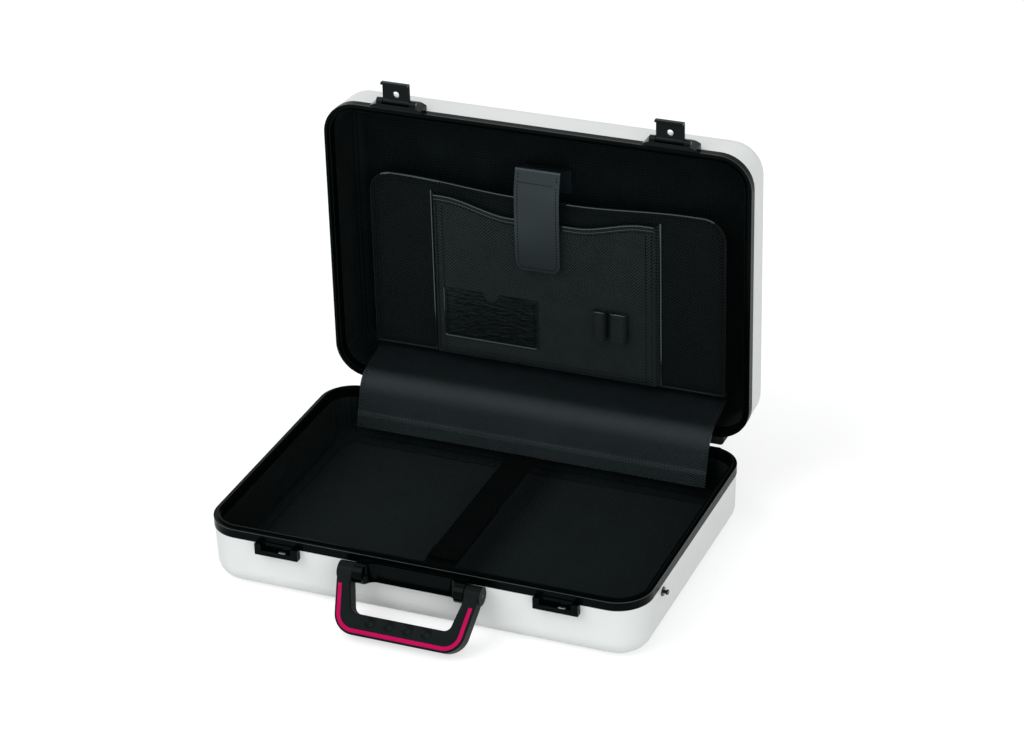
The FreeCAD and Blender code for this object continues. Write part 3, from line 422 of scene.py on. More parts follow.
def rounded_line(corners, radius, step=4.0):
    """A line of (y, z) through corners, each inner corner rounded, with points a few mm apart."""
    corners = [np.array(corner, float) for corner in corners]
    line = [corners[0]]

    def carry_on(goal):
        """Goes straight on to a point."""
        first = line[-1]
        run = max(int(np.linalg.norm(goal - first) / step), 1)
        line.extend([first + (goal - first) * share for share in np.linspace(0, 1, run + 1)[1:]])

    for before, corner, after in zip(corners, corners[1:], corners[2:]):
        back = (before - corner) / np.linalg.norm(before - corner)
        onward = (after - corner) / np.linalg.norm(after - corner)
        half_turn = math.acos(np.clip(back.dot(onward), -1, 1)) / 2
        reach = radius / math.tan(half_turn)
        start, end = corner + back * reach, corner + onward * reach
        carry_on(start)
        for share in np.linspace(0, 1, 13)[1:]:
            near = start * (1 - share) + corner * share
            far = corner * (1 - share) + end * share
            line.append(near * (1 - share) + far * share)
    carry_on(corners[-1])
    return np.array(line)


front_line = rounded_line([(-151.0, 36.0), (-60.0, 35.9), (15.0, 35.9)], 60)
strap_front = piece("strap_front_webbing", "base", strap_part(front_line))
rear_line = rounded_line([(-95.0, 37.7), (116.0, 37.6), (151.0, 25.2)], 18)
strap_rear = piece("strap_rear_webbing", "base", strap_part(rear_line))
hem_half, hem_thick, hem_droop = 16.4, 1.2, 0.3
hem_line = rounded_line([(-96.2, 38.6), (-85.0, 39.2), (-74.0, 38.9)], 8)
hem_rows = [[(place * hem_half, y, z - hem_droop * place ** 2) for place in spread(1, 11)]
            for y, z in hem_line]
hem_parts = [(*skin(hem_rows, hem_thick), pile_webbing)]
hem_face, strap_face, strap_sewn_half = 38.9, 37.6, 14.5
strap_seams = ((-92.5, hem_face), (-77.0, hem_face),
               (-30.0, strap_face), (16.5, strap_face), (20.5, strap_face))
for y, face in strap_seams:
    row = [(x, y, face) for x in spread(strap_sewn_half, 12)]
    hem_parts.append((*stitches(row, upward), black_thread))
strap_hem = piece("strap_rear_hem", "base", hem_parts)
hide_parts("strap_front")
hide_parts("strap_rear")
anchor_half, anchor_rise, anchor_swell, anchor_thick = 21.0, 3.5, 1.7, 0.9
anchor_sewn_half, anchor_sewn_out = 19.0, 1.55
for end, way, level, face in (("front", -1, 36.0, 152.9), ("back", 1, 24.0, 152.6)):
    swell = []
    for drop in spread(1, 9):
        out = anchor_swell * math.sqrt(1 - 0.8 * drop ** 2)
        row = []
        for x in spread(anchor_half, 15):
            flattened = 1 - 0.5 * (abs(x) / anchor_half) ** 6
            row.append((x, (face - out * flattened) * way, level + anchor_rise * drop))
        swell.append(row)
    anchor_parts = [(*skin(swell, anchor_thick * way), pile_webbing)]
    for drop in (-2.0, 2.0):
        row = [(x, (face - anchor_sewn_out) * way, level + drop) for x in spread(anchor_sewn_half, 14)]
        anchor_parts.append((*stitches(row, (0, -way, 0)), waxed_thread))
    anchor = piece("strap_anchor_" + end + "_webbing", "base", anchor_parts)
    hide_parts("strap_anchor_" + end)

# Hinges, pins, rivets and lock barrels: zinc-plated steel, stamped or turned.
# The strap studs and the handle's pins are turned from the same steel and plated in black nickel.
# Plating over brushed stock gives a dull grey shine with fine streaks along the length.


def plated(name, dark, light, roughness, streak):
    """Plated steel: fine brushed streaks that vary the shine. The streak's width is in mm."""
    material, tree, place = blank_finish(name)
    drawn_out, edge, depth = (0.06, 1.0, 1.0), 0.25, 0.02
    drawn = add(tree, "Mapping", {"Vector": place, "Scale": drawn_out})
    lines = add(tree, "TexNoise", {"Vector": drawn, "Scale": 1 / (streak * MM), "Detail": 4.0})
    gloss = add(tree, "MapRange", {
        "Value": lines, "From Min": 0.3, "From Max": 0.7,
        "To Min": roughness * 0.8, "To Max": roughness * 1.25})
    corner = add(tree, "Bevel", {"Radius": edge * MM}, samples=6)
    relief = {"Height": lines, "Distance": depth * MM, "Normal": corner}
    return complete(material, lines, dark, light, relief, {"Metallic": 1.0, "Roughness": gloss})


# Zinc plate: a pale grey, blurred shine. Black nickel: a dark mirror that shows as a few sharp glints.
zinc_steel = plated("zinc_plated_steel", "#a3a5a6", "#c4c6c6", 0.32, 0.6)
black_nickel = plated("black_nickel_steel", "#191b1c", "#2f3234", 0.24, 0.6)
both_sides = ("left", "right")
for side in both_sides:
    dress(zinc_steel, "hinge_leaf_base_" + side, "hinge_leaf_lid_" + side, "hinge_pin_" + side)
    dress(zinc_steel, "latch_pin_" + side, "lock_barrel_" + side, "strike_plate_" + side)
    dress(black_nickel, "strap_stud_" + side, "handle_pin_" + side)
dress(zinc_steel, "hinge_rivets_base", "hinge_rivets_lid")

# Feet: moulded rubber blocks on the back of both shells, so that the shut case can stand upright.
# Each is pressed in one piece with rounded edges and set flat on its shell beside a hinge.

# Foot rubber: matt black that greys a little towards its edges.
foot_rubber = moulded("moulded_foot_rubber", "#0b0c0c", "#151616", 0.75, 0.9, 0.06,
                      edge=0.6, ior=1.52, shine=0.25)
for side in both_sides:
    dress(foot_rubber, "foot_base_" + side, "foot_lid_" + side)

# Latches, keepers and handle bracket: injection-moulded black nylon with a polished mould face.
# The gloss shows as bright lines along every rounded edge.

# Polished nylon: sharp white lines on black. The keepers and bracket take a darker, less shiny copy of the
# same nylon, which is painted shade.
gloss_nylon = moulded("polished_black_nylon", "#020404", "#050808", 0.12, 4.0, 0.012,
                      edge=0.8, ior=1.53, shine=0.12, tint=painted_cool_cast)
shaded_nylon_copy = moulded("black_nylon_painted_shade", "#010202", "#030505", 0.12, 4.0, 0.012,
                     edge=0.8, ior=1.53, shine=0.05, tint=painted_cool_cast)
for side in both_sides:
    dress(gloss_nylon, "latch_base_" + side, "latch_lever_" + side)
    dress(shaded_nylon_copy, "keeper_" + side)
dress(shaded_nylon_copy, "handle_bracket")

# Handle: a bow overmoulded in soft-touch rubber with four finger dimples.
# A magenta strip of the same moulding is inlaid along its outer edge.

# Soft-touch rubber: a smoky black with blurred, weak highlights. Magenta inlay: an even, matt colour.
soft_touch = moulded("soft_touch_rubber", "#040606", "#080b0b", 0.4, 0.8, 0.05,
                     edge=0.6, ior=1.5, shine=0.08, tint=painted_cool_cast)
magenta_inlay = moulded("moulded_magenta_inlay", "#b4034f", "#be0558", 0.45, 1.2, 0.02,
                        edge=0.3, ior=1.5, shine=0.05)
dress(soft_touch, "handle_bow")
dress(magenta_inlay, "handle_stripe")

# Document panel: a board covered in black leatherette, its edge bound with shiny piping.
# Two rows of stitches run round it, and its mouth dips a little between the corners.


def leather(name, dark, light, roughness, cell, depth, shine):
    """Leather or leatherette: an embossed lattice of cells with pebbles, over a mottled dye, its tone painted
    lighter on the raised cells and darker in the hollows as shade. Sizes in mm.
    """
    material, tree, place = blank_finish(name)
    sway_size, sway_reach, pebble_size, mottle_size = 4, 0.9, 1.5, 24
    sway = add(tree, "TexNoise", {"Vector": place, "Scale": 1 / (sway_size * MM), "Detail": 1.0})
    swayed = add(tree, "VectorMath", {0: sway.outputs["Color"], 1: (sway_reach * MM,) * 3, 2: place},
                 operation="MULTIPLY_ADD")
    split = add(tree, "SeparateXYZ", {"Vector": swayed})
    run = add(tree, "Math", {0: split.outputs["Y"], 1: split.outputs["Z"]}, operation="ADD")
    lattice = None
    for line in (split.outputs["X"], run):
        turn = add(tree, "Math", {0: line, 1: math.pi / (cell * MM)}, operation="MULTIPLY")
        wave = add(tree, "Math", {0: turn}, operation="SINE")
        if lattice is not None:
            wave = add(tree, "Math", {0: lattice, 1: wave}, operation="MULTIPLY")
        lattice = wave
    pebbles = add(tree, "TexVoronoi", {"Vector": place, "Scale": 1 / (pebble_size * MM)}, feature="SMOOTH_F1")
    grain_and_shade = add(tree, "Math", {0: pebbles, 1: 0.5, 2: lattice}, operation="MULTIPLY_ADD")
    mottle = add(tree, "TexNoise", {"Vector": place, "Scale": 1 / (mottle_size * MM), "Detail": 5.0})
    dye = add(tree, "Math", {0: mottle, 1: 0.35, 2: 0.33}, operation="MULTIPLY_ADD")
    # The tone mixes the mottled dye with the emboss: raised cells lighter, hollows darker, which is painted
    # shade.
    shade = add(tree, "Math", {0: grain_and_shade, 1: 0.5, 2: dye}, operation="MULTIPLY_ADD")
    gloss = add(tree, "MapRange", {
        "Value": grain_and_shade, "From Min": -0.6, "From Max": 1.2,
        "To Min": roughness * 1.15, "To Max": roughness * 0.85})
    relief = {"Height": grain_and_shade, "Distance": depth * MM}
    surface = {"Roughness": gloss, "Specular IOR Level": shine, "Specular Tint": painted_cool_cast}
    return complete(material, shade, dark, light, relief, surface)


# Leatherette in three copies of one material: darker on the panel as painted shade, greyer on the pocket and
# pen loops as painted light, and softly glossy on the apron, where a pale band follows the bend.
# The embossed cells of the real leatherette are about 1 mm, drawn at 1.8 mm so that they show.
leatherette = leather("painted_shade_leatherette", "#000000", "#131718", 0.44, 1.8, 0.34, shine=0.05)
greyer_leatherette_copy = leather("painted_light_leatherette", "#010202", "#262c2d", 0.42, 1.8, 0.34,
                             shine=0.07)
apron_leatherette = leather("embossed_soft_leatherette", "#000000", "#191f21", 0.2, 1.8, 0.15, shine=0.175)
# Vinyl piping in two copies of one cord: a darker, duller one round the panel as painted shade, and a
# lighter, glossier one as a painted highlight on the mouths, the pocket's sides, the card pocket and the pen
# loops.
shaded_piping_copy = moulded("piping_painted_shade", "#060909", "#0f1415", 0.26, 1.5, 0.02, shine=0.09, tint=painted_cool_cast)
highlight_piping_copy = moulded("piping_painted_highlight", "#0d1212", "#181f20", 0.12, 1.5, 0.01,
                        shine=1.0, tint=painted_cool_cast)


def ease(share):
    """A smooth step from 0 to 1."""
    share = min(max(share, 0.0), 1.0)
    return share * share * (3 - 2 * share)


def mouth(x, shape):
    """Height of a pocket's upper edge at a place across it: round at its corners, dipped in the middle."""
    past = abs(x) - (shape["half"] - shape["corner"])
    level = shape["top"] - shape["dip"] * ease((shape["flat"] - abs(x)) / shape["run"])
    if past > 0:
        level -= shape["corner"] - math.sqrt(max(shape["corner"] ** 2 - past ** 2, 0.0))
    return level


def mouth_places(shape):
    """Places across a pocket, close together round its corners."""
    straight = shape["half"] - shape["corner"]
    turn = [straight + shape["corner"] * math.sin(angle) for angle in np.linspace(0, math.pi / 2, 10)]
    middle = list(spread(straight, 60))[1:-1]
    return [-place for place in reversed(turn)] + middle + turn


panel_shape = dict(half=198.5, foot=107.0, top=309.0, corner=24.0, dip=7.0, flat=160.0, run=130.0)
panel_face, panel_thick, panel_crown = 197.6, 1.5, 0.45


def panel_outline(inset, face):
    """A closed line round the panel's edge at an inset, from its lower left over the mouth."""
    inner = {**panel_shape, "half": panel_shape["half"] - inset, "top": panel_shape["top"] - inset,
             "corner": panel_shape["corner"] - inset}
    half, foot = inner["half"], panel_shape["foot"] + inset
    over = [(x, mouth(x, inner)) for x in mouth_places(inner)]
    up = [(-half, z) for z in np.linspace(foot, over[0][1], 30)[:-1]]
    down = [(half, z) for z in np.linspace(over[-1][1], foot, 30)[1:]]
    along = [(x, foot) for x in np.linspace(half, -half, 40)[1:]]
    return [(x, face, z) for x, z in up + over + down + along]


panel_rows = []
for share in np.linspace(1, 0, 34):
    row = []
    for x in mouth_places(panel_shape):
        level = panel_shape["foot"] + share * (mouth(x, panel_shape) - panel_shape["foot"])
        crown = panel_crown * math.sin(math.pi * share) * max(1 - (x / panel_shape["half"]) ** 4, 0)
        row.append((x, panel_face - crown, level))
    panel_rows.append(row)
panel_skin = skin(panel_rows, -panel_thick)
document_panel = piece("document_panel_board", "lid", [(*panel_skin, leatherette)])
edge_radius, lip_radius, panel_lip_half = 1.25, 1.3, 186.0
panel_trim = [(*tube(panel_outline(0.0, panel_face + 0.3), edge_radius), shaded_piping_copy)]
# A second, lighter and glossier cord over the mouth of the edge piping: a painted highlight line.
panel_lip = [(x, panel_face + 0.1, mouth(x, panel_shape)) for x in spread(panel_lip_half, 110)]
panel_trim.append((*tube(panel_lip, lip_radius), highlight_piping_copy))
for inset in (4.0, 7.2):
    panel_trim.append((*stitches(panel_outline(inset, panel_face - 0.15), forward), waxed_thread))
document_trim = piece("document_panel_binding", "lid", panel_trim)
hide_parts("document_panel")

# Gusset: three strips of thin cloth that close the document pocket behind the panel.
# Each is sewn to the panel and to the lid's lining and folds in on itself like a bellows.

# Gusset nylon: thin, plain and dull; its weave is drawn at 1.6 mm so that it shows.
gusset_nylon = woven("thin_gusset_nylon", "#060708", "#101112", 1.6, 0.15, 0.65)
# Each strip runs from a start to an end (x, z), and its fold points inward.
gusset_lines = {
    "left": ((-193.9, 111.5), (-193.9, 284.5), (1, 0)),
    "right": ((193.9, 111.5), (193.9, 284.5), (-1, 0)),
    "bottom": ((-192.5, 111.6), (192.5, 111.6), (0, 1)),
}
gusset_front, gusset_back, gusset_thick = 199.3, 223.0, 0.7
fold_depth, fold_middle, fold_reach = 3.6, 211.2, 11.9
for name, (start, end, inward) in gusset_lines.items():
    start, end = np.array(start), np.array(end)
    line = [start + (end - start) * share for share in np.linspace(0, 1, 24)]
    rows = []
    for y in np.linspace(gusset_front, gusset_back, 13):
        fold = fold_depth * (1 - abs(y - fold_middle) / fold_reach) ** 1.2
        rows.append([(x + inward[0] * fold, y, z + inward[1] * fold) for x, z in line])
    gusset_skin = skin(rows, gusset_thick)
    gusset = piece("gusset_" + name + "_cloth", "lid", [(*gusset_skin, gusset_nylon)])
    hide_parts("gusset_" + name)

# Front pocket: a leatherette bag sewn on the document panel, with a bound mouth that dips in the middle.
# Its sides stand off the panel as narrow gussets, each with a line of piping down its back edge.

pocket_shape = dict(half=123.5, foot=109.0, top=294.0, corner=1.0, dip=14.0, flat=113.0, run=76.0)
pocket_face, pocket_thick = 190.7, 0.9
round_start, round_run, round_depth = 119.5, 4.0, 1.3
side_turn = [(124.4, 193.4), (125.0, 195.2), (126.0, 196.6), (127.6, 197.2)]
pocket_rows = []
for share in np.linspace(1, 0.02, 30):
    row = []
    for x in spread(pocket_shape["half"], 61):
        level = pocket_shape["foot"] + share * (mouth(x, pocket_shape) - pocket_shape["foot"])
        rounded = round_depth * ease((abs(x) - round_start) / round_run)
        row.append((x, pocket_face + rounded, level))
    side_level = pocket_shape["foot"] + share * (pocket_shape["top"] - pocket_shape["foot"])
    left_side = [(-x, y, side_level) for x, y in reversed(side_turn)]
    right_side = [(x, y, side_level) for x, y in side_turn]
    pocket_rows.append(left_side + row + right_side)
for y, level in ((192.4, 108.3), (195.0, 107.8), (197.2, 107.4)):
    pocket_rows.append([(x, max(y, across), level) for x, across, _ in pocket_rows[-1]])
pocket_skin = skin(pocket_rows, -pocket_thick)
front_pocket = piece("front_pocket_bag", "lid", [(*pocket_skin, greyer_leatherette_copy)])
pocket_lip_half, ridge_drop, ridge_radius, lip_seam_drop = 123.0, 4.4, 0.6, 7.0
pocket_lip = [(x, pocket_face - 0.1, mouth(x, pocket_shape)) for x in spread(pocket_lip_half, 90)]
ridge = [(x, pocket_face - 0.2, z - ridge_drop) for x, _, z in pocket_lip]
under_lip = [(x, pocket_face - 0.25, z - lip_seam_drop) for x, _, z in pocket_lip]
pocket_trim = [(*tube(pocket_lip, lip_radius), highlight_piping_copy),
               (*tube(ridge, ridge_radius), highlight_piping_copy),
               (*stitches(under_lip, forward), waxed_thread)]
pipe_side, pipe_face, pipe_radius, seam_face = 128.0, 196.5, 1.15, pocket_face - 0.2
for way in (-1, 1):
    pipe = [(way * pipe_side, pipe_face, z) for z in np.linspace(108.0, 297.0, 40)]
    pocket_trim.append((*tube(pipe, pipe_radius), highlight_piping_copy))
    for x in (120.5, 114.0):
        row = [(way * x, seam_face, z) for z in np.linspace(112.0, 288.0, 60)]
        pocket_trim.append((*stitches(row, forward), waxed_thread))
for level in (112.0, 116.0):
    row = [(x, seam_face, level) for x in spread(119.0, 60)]
    pocket_trim.append((*stitches(row, forward), waxed_thread))
front_trim = piece("front_pocket_binding", "lid", pocket_trim)
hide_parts("front_pocket")

# Card pocket: a patch of real leather with a coarse, creased grain, sewn on the front pocket on three sides.
# Piping frames those sides, and a round thumb notch is cut in the middle of the open one.


def creased_hide(name, dark, light, roughness, crease, depth, shine):
    """Drummed hide: long soft creases across the patch with shiny ridges between them, the tone painted dark
    in the creases as shade. Sizes in mm.
    """
    material, tree, place = blank_finish(name)
    drawn_out = (0.22, 0.5, 1.0)
    drawn = add(tree, "Mapping", {"Vector": place, "Scale": drawn_out})
    crease_relief_and_shade = add(tree, "TexNoise", {
        "Vector": drawn, "Scale": 1 / (crease * MM),
        "Detail": 3.0, "Roughness": 0.6, "Distortion": 0.6})
    gloss = add(tree, "MapRange", {
        "Value": crease_relief_and_shade, "From Min": 0.3, "From Max": 0.7,
        "To Min": roughness * 1.3, "To Max": roughness * 0.8})
    relief = {"Height": crease_relief_and_shade, "Distance": depth * MM}
    surface = {"Roughness": gloss, "Specular IOR Level": shine, "Specular Tint": painted_cool_cast}
    return complete(material, crease_relief_and_shade, dark, light, relief, surface)


# Creased cowhide: valleys painted black as shade between shiny ridges, painted lighter, that run across the
# patch.
creased_leather = creased_hide("creased_cowhide", "#020404", "#0c1111", 0.26, 2.6, 0.65, 0.26)
card_left, card_right, card_foot, card_height = -114.0, -8.0, 131.0, 57.0
card_width = card_right - card_left
card_face, card_thick, card_puff = 190.0, 0.9, 0.7
notch_middle, notch_radius, notch_land = -61.0, 9.5, 0.5
beside_notch = notch_radius + notch_land
card_places = list(np.linspace(card_left, notch_middle - beside_notch, 22))
card_places += [notch_middle - notch_radius * math.cos(angle) for angle in np.linspace(0, math.pi, 25)]
card_places += list(np.linspace(notch_middle + beside_notch, card_right, 22))
card_rows = []
for share in np.linspace(1, 0, 22):
    row = []
    for x in card_places:
        off = abs(x - notch_middle)
        notch = math.sqrt(notch_radius ** 2 - off ** 2) if off < notch_radius else 0.0
        level = card_foot + share * (card_height - notch)
        puff = card_puff * math.sin(math.pi * (x - card_left) / card_width) ** 0.5 * (0.3 + 0.7 * share)
        row.append((x, card_face - puff, level))
    card_rows.append(row)
card_skin = skin(card_rows, -card_thick)
card_pocket = piece("card_pocket_patch", "lid", [(*card_skin, creased_leather)])


def three_sides(inset, top, turn, face):
    """A line down, along and up the three sewn sides of the card pocket at an inset."""
    left, right, foot = card_left + inset, card_right - inset, card_foot + inset
    down = [(left, face, z) for z in np.linspace(top, foot + turn, 20)]
    along = [(x, face, foot) for x in np.linspace(left + turn, right - turn, 30)]
    up = [(right, face, z) for z in np.linspace(foot + turn, top, 20)]
    return down + along + up


# The small patches are sewn with a finer stitch.
fine_stitch = dict(pitch=3.4, length=1.9)
card_frame = three_sides(0.0, 188.0, 1.5, card_face - 0.1)
card_seam = three_sides(3.2, 186.0, 0.3, card_face - 0.65)
card_frame_radius = 0.85
card_trim = [(*tube(card_frame, card_frame_radius), highlight_piping_copy),
             (*stitches(card_seam, forward, **fine_stitch), waxed_thread)]
card_binding = piece("card_pocket_binding", "lid", card_trim)
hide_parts("card_pocket")

# Pen loops: two bands of leatherette bowed off the front pocket, with their wings sewn down.
# The upper rim of each is bound.

loop_face, loop_rise, loop_thick, loop_arch = 190.4, 10.0, 1.0, 1.2
loop_top, loop_foot, loop_rim_level, loop_rim_radius = 191.0, 158.0, 190.8, 0.75
for side, low, high in (("left", 57.5, 71.5), ("right", 75.5, 94.5)):
    middle, half = (low + high) / 2, (high - low) / 2
    bow = []
    for turn in spread(1, 25):
        angle = turn * math.pi / 2
        x = middle + math.copysign(abs(math.sin(angle)) ** 0.7, turn) * (half - 0.3)
        rise = loop_rise * abs(math.cos(angle)) ** 0.6
        arch = loop_arch * math.sin((x - low) / (high - low) * math.pi)
        bow.append((x, loop_face - rise, arch))
    loop_rows = [[(x, y, level + arch) for x, y, arch in bow]
                 for level in np.linspace(loop_top, loop_foot, 14)]
    loop_skin = skin(loop_rows, -loop_thick)
    loop = piece("pen_loop_" + side + "_band", "lid", [(*loop_skin, greyer_leatherette_copy)])
    rim = [(x, y, loop_rim_level + arch) for x, y, arch in bow]
    trim = [(*tube(rim, loop_rim_radius), highlight_piping_copy)]
    for x in (low - 0.2, high + 0.2):
        row = [(x, loop_face - 0.1, level) for level in np.linspace(160, 190, 12)]
        trim.append((*stitches(row, forward, **fine_stitch), waxed_thread))
    binding = piece("pen_loop_" + side + "_binding", "lid", trim)
    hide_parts("pen_loop_" + side)

# Closure tab: a strap of smooth satin leather sewn behind the pockets that folds over and hangs in front.
# Stitches run round its edge and across it under the fold, and its lower corners are round.

# Satin leather: smooth, with one broad soft highlight that brightens towards the fold.
satin_leather = leather("smooth_satin_leather", "#0c1213", "#131c1e", 0.34, 60.0, 0.03, shine=0.47)
tab_middle, tab_side, tab_foot, tab_corner, tab_thick = -4.0, 25.0, 226.0, 10.0, 1.6
corner_level = tab_foot + tab_corner


def tab_half(level):
    """Half the tab's width at a height: straight, then rounded in at the lower corners."""
    past = min(max(corner_level - level, 0), tab_corner)
    return tab_side - (tab_corner - math.sqrt(tab_corner ** 2 - past ** 2))


def on_tab(x, level, lift=0.0):
    """A point on the tab's face: a slight belly, rolled edges, a shoulder that leans back under the fold."""
    face, belly_run, shoulder_start, shoulder_run = 184.5, 90, 310, 18
    belly = 0.7 * math.sin(math.pi * min(max((level - tab_foot) / belly_run, 0), 1))
    shoulder = 3.2 * min(max((level - shoulder_start) / shoulder_run, 0), 1) ** 1.6
    rolled = 0.5 * abs(x / tab_side) ** 6
    return (tab_middle + x, face - belly + shoulder + rolled - lift, level)


tab_levels = list(np.linspace(328.2, 312, 12)) + list(np.linspace(308, 240, 22))
tab_levels += [corner_level - 9.98 * math.sin(angle) for angle in np.linspace(0, math.pi / 2, 14)]
tab_rows = [[on_tab(place * tab_half(level), level) for place in spread(1, 23)] for level in tab_levels]
tab_skin = skin(tab_rows, -tab_thick)
closure_tab = piece("closure_tab_leather", "tab", [(*tab_skin, satin_leather)])
sewn_inset, sewn_top, sewn_lift = 3.5, 327.5, 0.05
sewn_side, sewn_corner = tab_side - sewn_inset, tab_corner - sewn_inset
corner_side = tab_side - tab_corner
corner_turn = [(sewn_corner * math.cos(angle), sewn_corner * math.sin(angle))
               for angle in np.linspace(0, math.pi / 2, 10)]
border = [(-sewn_side, z) for z in np.linspace(sewn_top, corner_level, 40)]
border += [(-corner_side - across, corner_level - drop) for across, drop in corner_turn]
border += [(x, tab_foot + sewn_inset) for x in spread(14, 14)]
border += [(corner_side + across, corner_level - drop) for drop, across in corner_turn]
border += [(sewn_side, z) for z in np.linspace(corner_level, sewn_top, 40)]
cross_seam = [(x, 325.4) for x in spread(21, 16)]
tab_stitch = dict(pitch=3.3, length=1.8)
tab_trim = []
for seam in (border, cross_seam):
    row = [on_tab(x, z, sewn_lift) for x, z in seam]
    tab_trim.append((*stitches(row, forward, **tab_stitch), waxed_thread))
tab_stitches = piece("closure_tab_stitches", "tab", tab_trim)
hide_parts("closure_tab")
tab_anchor_thick = 1.7
anchor_line = rounded_line([(187.75, 327.4), (191.2, 341.5), (223.1, 332.0), (223.1, 303.0)], 5.0, step=2)
anchor_rows = [[(tab_middle + place * tab_side, y, z) for place in spread(1, 13)] for y, z in anchor_line]
anchor_skin = skin(anchor_rows, tab_anchor_thick)
tab_anchor = piece("tab_anchor_leather", "lid", [(*anchor_skin, satin_leather)])
anchor_seam = list(zip(np.linspace(188.1, 190.1, 8), np.linspace(329.0, 337.0, 8)))
anchor_sewing = []
for x in (-sewn_side, sewn_side):
    row = [(tab_middle + x, y - sewn_lift, z) for y, z in anchor_seam]
    anchor_sewing.append((*stitches(row, forward, **tab_stitch), waxed_thread))
anchor_stitches = piece("tab_anchor_stitches", "lid", anchor_sewing)
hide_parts("tab_anchor")

# Apron: a wide flap of leatherette sewn to the lid's back that covers the gap between lid and base.
# It bends over the rim and hangs into the base, and its hem is turned up and sewn with two rows.

apron_half, apron_thick, hem_height, hem_step, hem_run = 199.0, 1.4, 17.0, 0.6, 2.5
apron_line = rounded_line([(222.6, 104.2), (150.0, 86.0), (134.0, 32.0)], 30)
apron_run = np.concatenate([[0], np.cumsum(np.linalg.norm(np.diff(apron_line, axis=0), axis=1))])
apron_length = apron_run[-1]


def along_apron(run):
    """The (y, z) of the apron's middle line at a distance from the lid."""
    return np.array([np.interp(run, apron_run, apron_line[:, axis]) for axis in (0, 1)])


def on_apron(x, run, lift=0.0):
    """A point on the apron and the way out of its face: across, along from the lid, and lifted off."""
    way = along_apron(min(run + 1, apron_length)) - along_apron(max(run - 1, 0))
    way /= np.linalg.norm(way)
    out = np.array([way[1], -way[0]])
    share = run / apron_length
    ripple = 0.7 * share ** 2 * math.sin(x / 26 + 0.7) + 0.25 * math.sin(x / 9) * share
    hem = hem_step * ease((run - apron_length + hem_height) / hem_run)
    y, z = along_apron(run) + out * (ripple + hem + lift)
    return (x, y, z), (0.0, out[0], out[1])


apron_rows = [[on_apron(x, run)[0] for x in spread(apron_half, 81)]
              for run in np.linspace(0, apron_length, 60)]
apron_skin = skin(apron_rows, -apron_thick)
apron = piece("apron_leatherette", None, [(*apron_skin, apron_leatherette)])
# Apron thread: a lighter, shinier copy of the black thread, a little lighter than the leatherette,
# so its stitches show pale as painted highlight, each stitch with a glint of its own.
lit_thread_copy = moulded("thread_painted_highlight", "#080a0a", "#111414", 0.3, 0.8, 0.05,
                        shine=0.2, tint=painted_cool_cast)
thread_lift, seam_half, side_seam = 0.1, 196.0, 195.5
seams = [[on_apron(x, apron_length - rise, thread_lift) for x in spread(seam_half, 160)]
         for rise in (13.0, hem_height)]
seams += [[on_apron(x, run, thread_lift) for run in np.linspace(6, apron_length - hem_height - 1, 60)]
          for x in (-side_seam, side_seam)]
apron_seams = []
for seam in seams:
    path, outward = zip(*seam)
    apron_seams.append((*stitches(path, outward), lit_thread_copy))
apron_stitches = piece("apron_stitches", None, apron_seams)
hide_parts("apron")
for sewn_piece in (apron, apron_stitches):
    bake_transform(sewn_piece)

# Studio: a sweep of pale paper that the case lies on, in a plain white room.
# Soft light comes from the upper left, with a wide fill from the front right.
# The camera stands where the photograph was taken from.

floor_corners = [(-14, -14, 0), (14, -14, 0), (14, 14, 0), (-14, 14, 0)]
floor_mesh = bpy.data.meshes.new("studio_floor")
floor_mesh.from_pydata(floor_corners, [], [(0, 1, 2, 3)])
floor = bpy.data.objects.new("studio_floor", floor_mesh)
bpy.context.scene.collection.objects.link(floor)


def seen_rays(tree):
    """1 for rays of the camera and of reflections, which see a white surround, and 0 for all others."""
    ray = add(tree, "LightPath")
    mirrored = add(tree, "Math", {0: ray.outputs["Is Glossy Ray"], 1: ray.outputs["Is Transmission Ray"]},
                   operation="MAXIMUM")
    return add(tree, "Math", {0: ray.outputs["Is Camera Ray"], 1: mirrored}, operation="MAXIMUM")


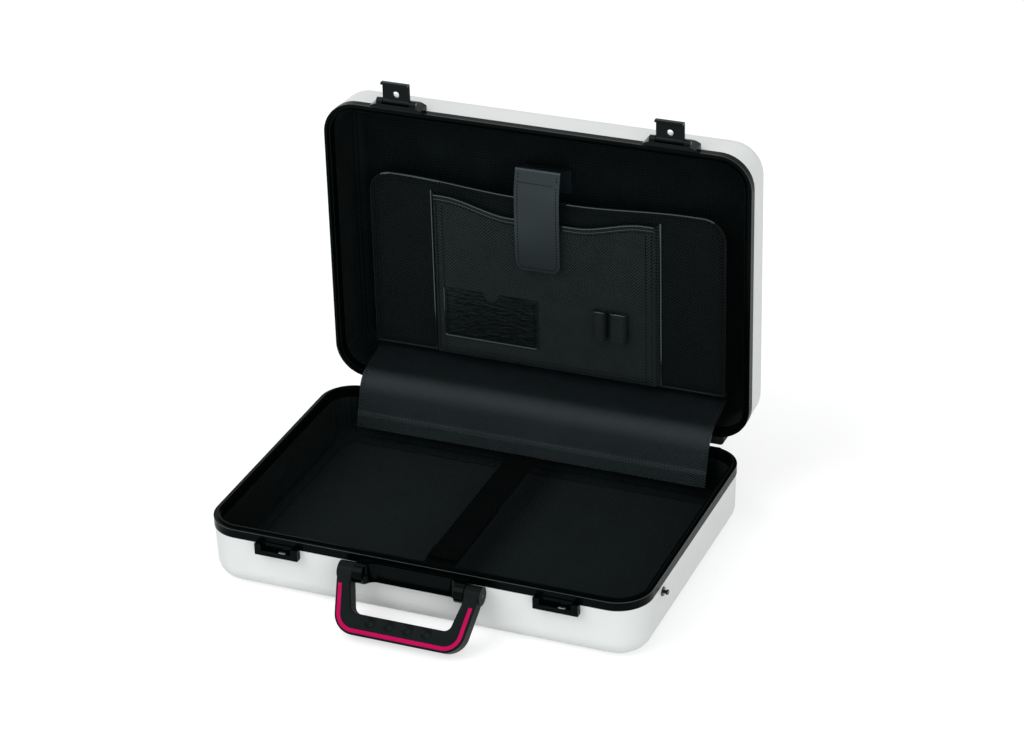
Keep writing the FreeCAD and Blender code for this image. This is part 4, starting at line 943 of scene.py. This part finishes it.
# Pale paper: matt and almost even, with soft shadows, and bright enough to run into the white room.
pale_paper, tree, place = blank_finish("pale_paper_sweep")
fibre_size, paper_glow = 40, 0.6
fibre = add(tree, "TexNoise", {"Vector": place, "Scale": 1 / (fibre_size * MM), "Detail": 2.0})
tone = add(tree, "Mix", {0: fibre, 6: linear("#c6c7c7"), 7: linear("#c9caca")}, data_type="RGBA")
paper = add(tree, "BsdfDiffuse", {"Color": tone.outputs[2]})
level = add(tree, "Math", {0: seen_rays(tree), 1: paper_glow}, operation="MULTIPLY")
glow = add(tree, "Emission", {"Color": linear("#ffffff"), "Strength": level})
both = add(tree, "AddShader", {0: paper, 1: glow})
add(tree, "OutputMaterial", {"Surface": both})
floor_mesh.materials.append(pale_paper)

world = bpy.data.worlds.new("white_studio")
bpy.context.scene.world = world
world.use_nodes = True
tree = world.node_tree
tree.nodes.clear()
level = add(tree, "Math", {0: seen_rays(tree), 1: 0.5, 2: 0.5}, operation="MULTIPLY_ADD")
surround = add(tree, "Background", {"Color": linear("#ffffff"), "Strength": level})
add(tree, "OutputWorld", {"Surface": surround})

for name, place, strength, softness in (
        ("soft_key", (-1.3, -1.5, 2.2), 1.1, 45), ("soft_fill", (1.45, -2.05, 0.4), 1.6, 60)):
    lamp = bpy.data.lights.new(name, "SUN")
    lamp.energy = strength
    lamp.angle = math.radians(softness)
    holder = bpy.data.objects.new(name, lamp)
    holder.location = place
    holder.rotation_euler = Vector(place).to_track_quat("Z", "Y").to_euler()
    bpy.context.scene.collection.objects.link(holder)

camera_data = bpy.data.cameras.new("photo_camera")
camera_data.lens = 111.34
camera_data.sensor_width = 36.0
camera_data.sensor_fit = "HORIZONTAL"
camera = bpy.data.objects.new("photo_camera", camera_data)
azimuth, elevation, roll = math.radians(22.809), math.radians(28.088), math.radians(-1.606)
aim, distance = Vector((0.0258, 0.0369, 0.1877)), 3.2
level_share = math.cos(elevation)
back = Vector((math.sin(azimuth) * level_share, -math.cos(azimuth) * level_share, math.sin(elevation)))
turned = Matrix.Rotation(azimuth, 4, "Z") @ Matrix.Rotation(math.pi / 2 - elevation, 4, "X")
turned = turned @ Matrix.Rotation(roll, 4, "Z")
camera.matrix_world = Matrix.Translation(aim + back * distance) @ turned
bpy.context.scene.collection.objects.link(camera)
bpy.context.scene.camera = camera
bpy.context.scene.view_settings.view_transform = "Standard"
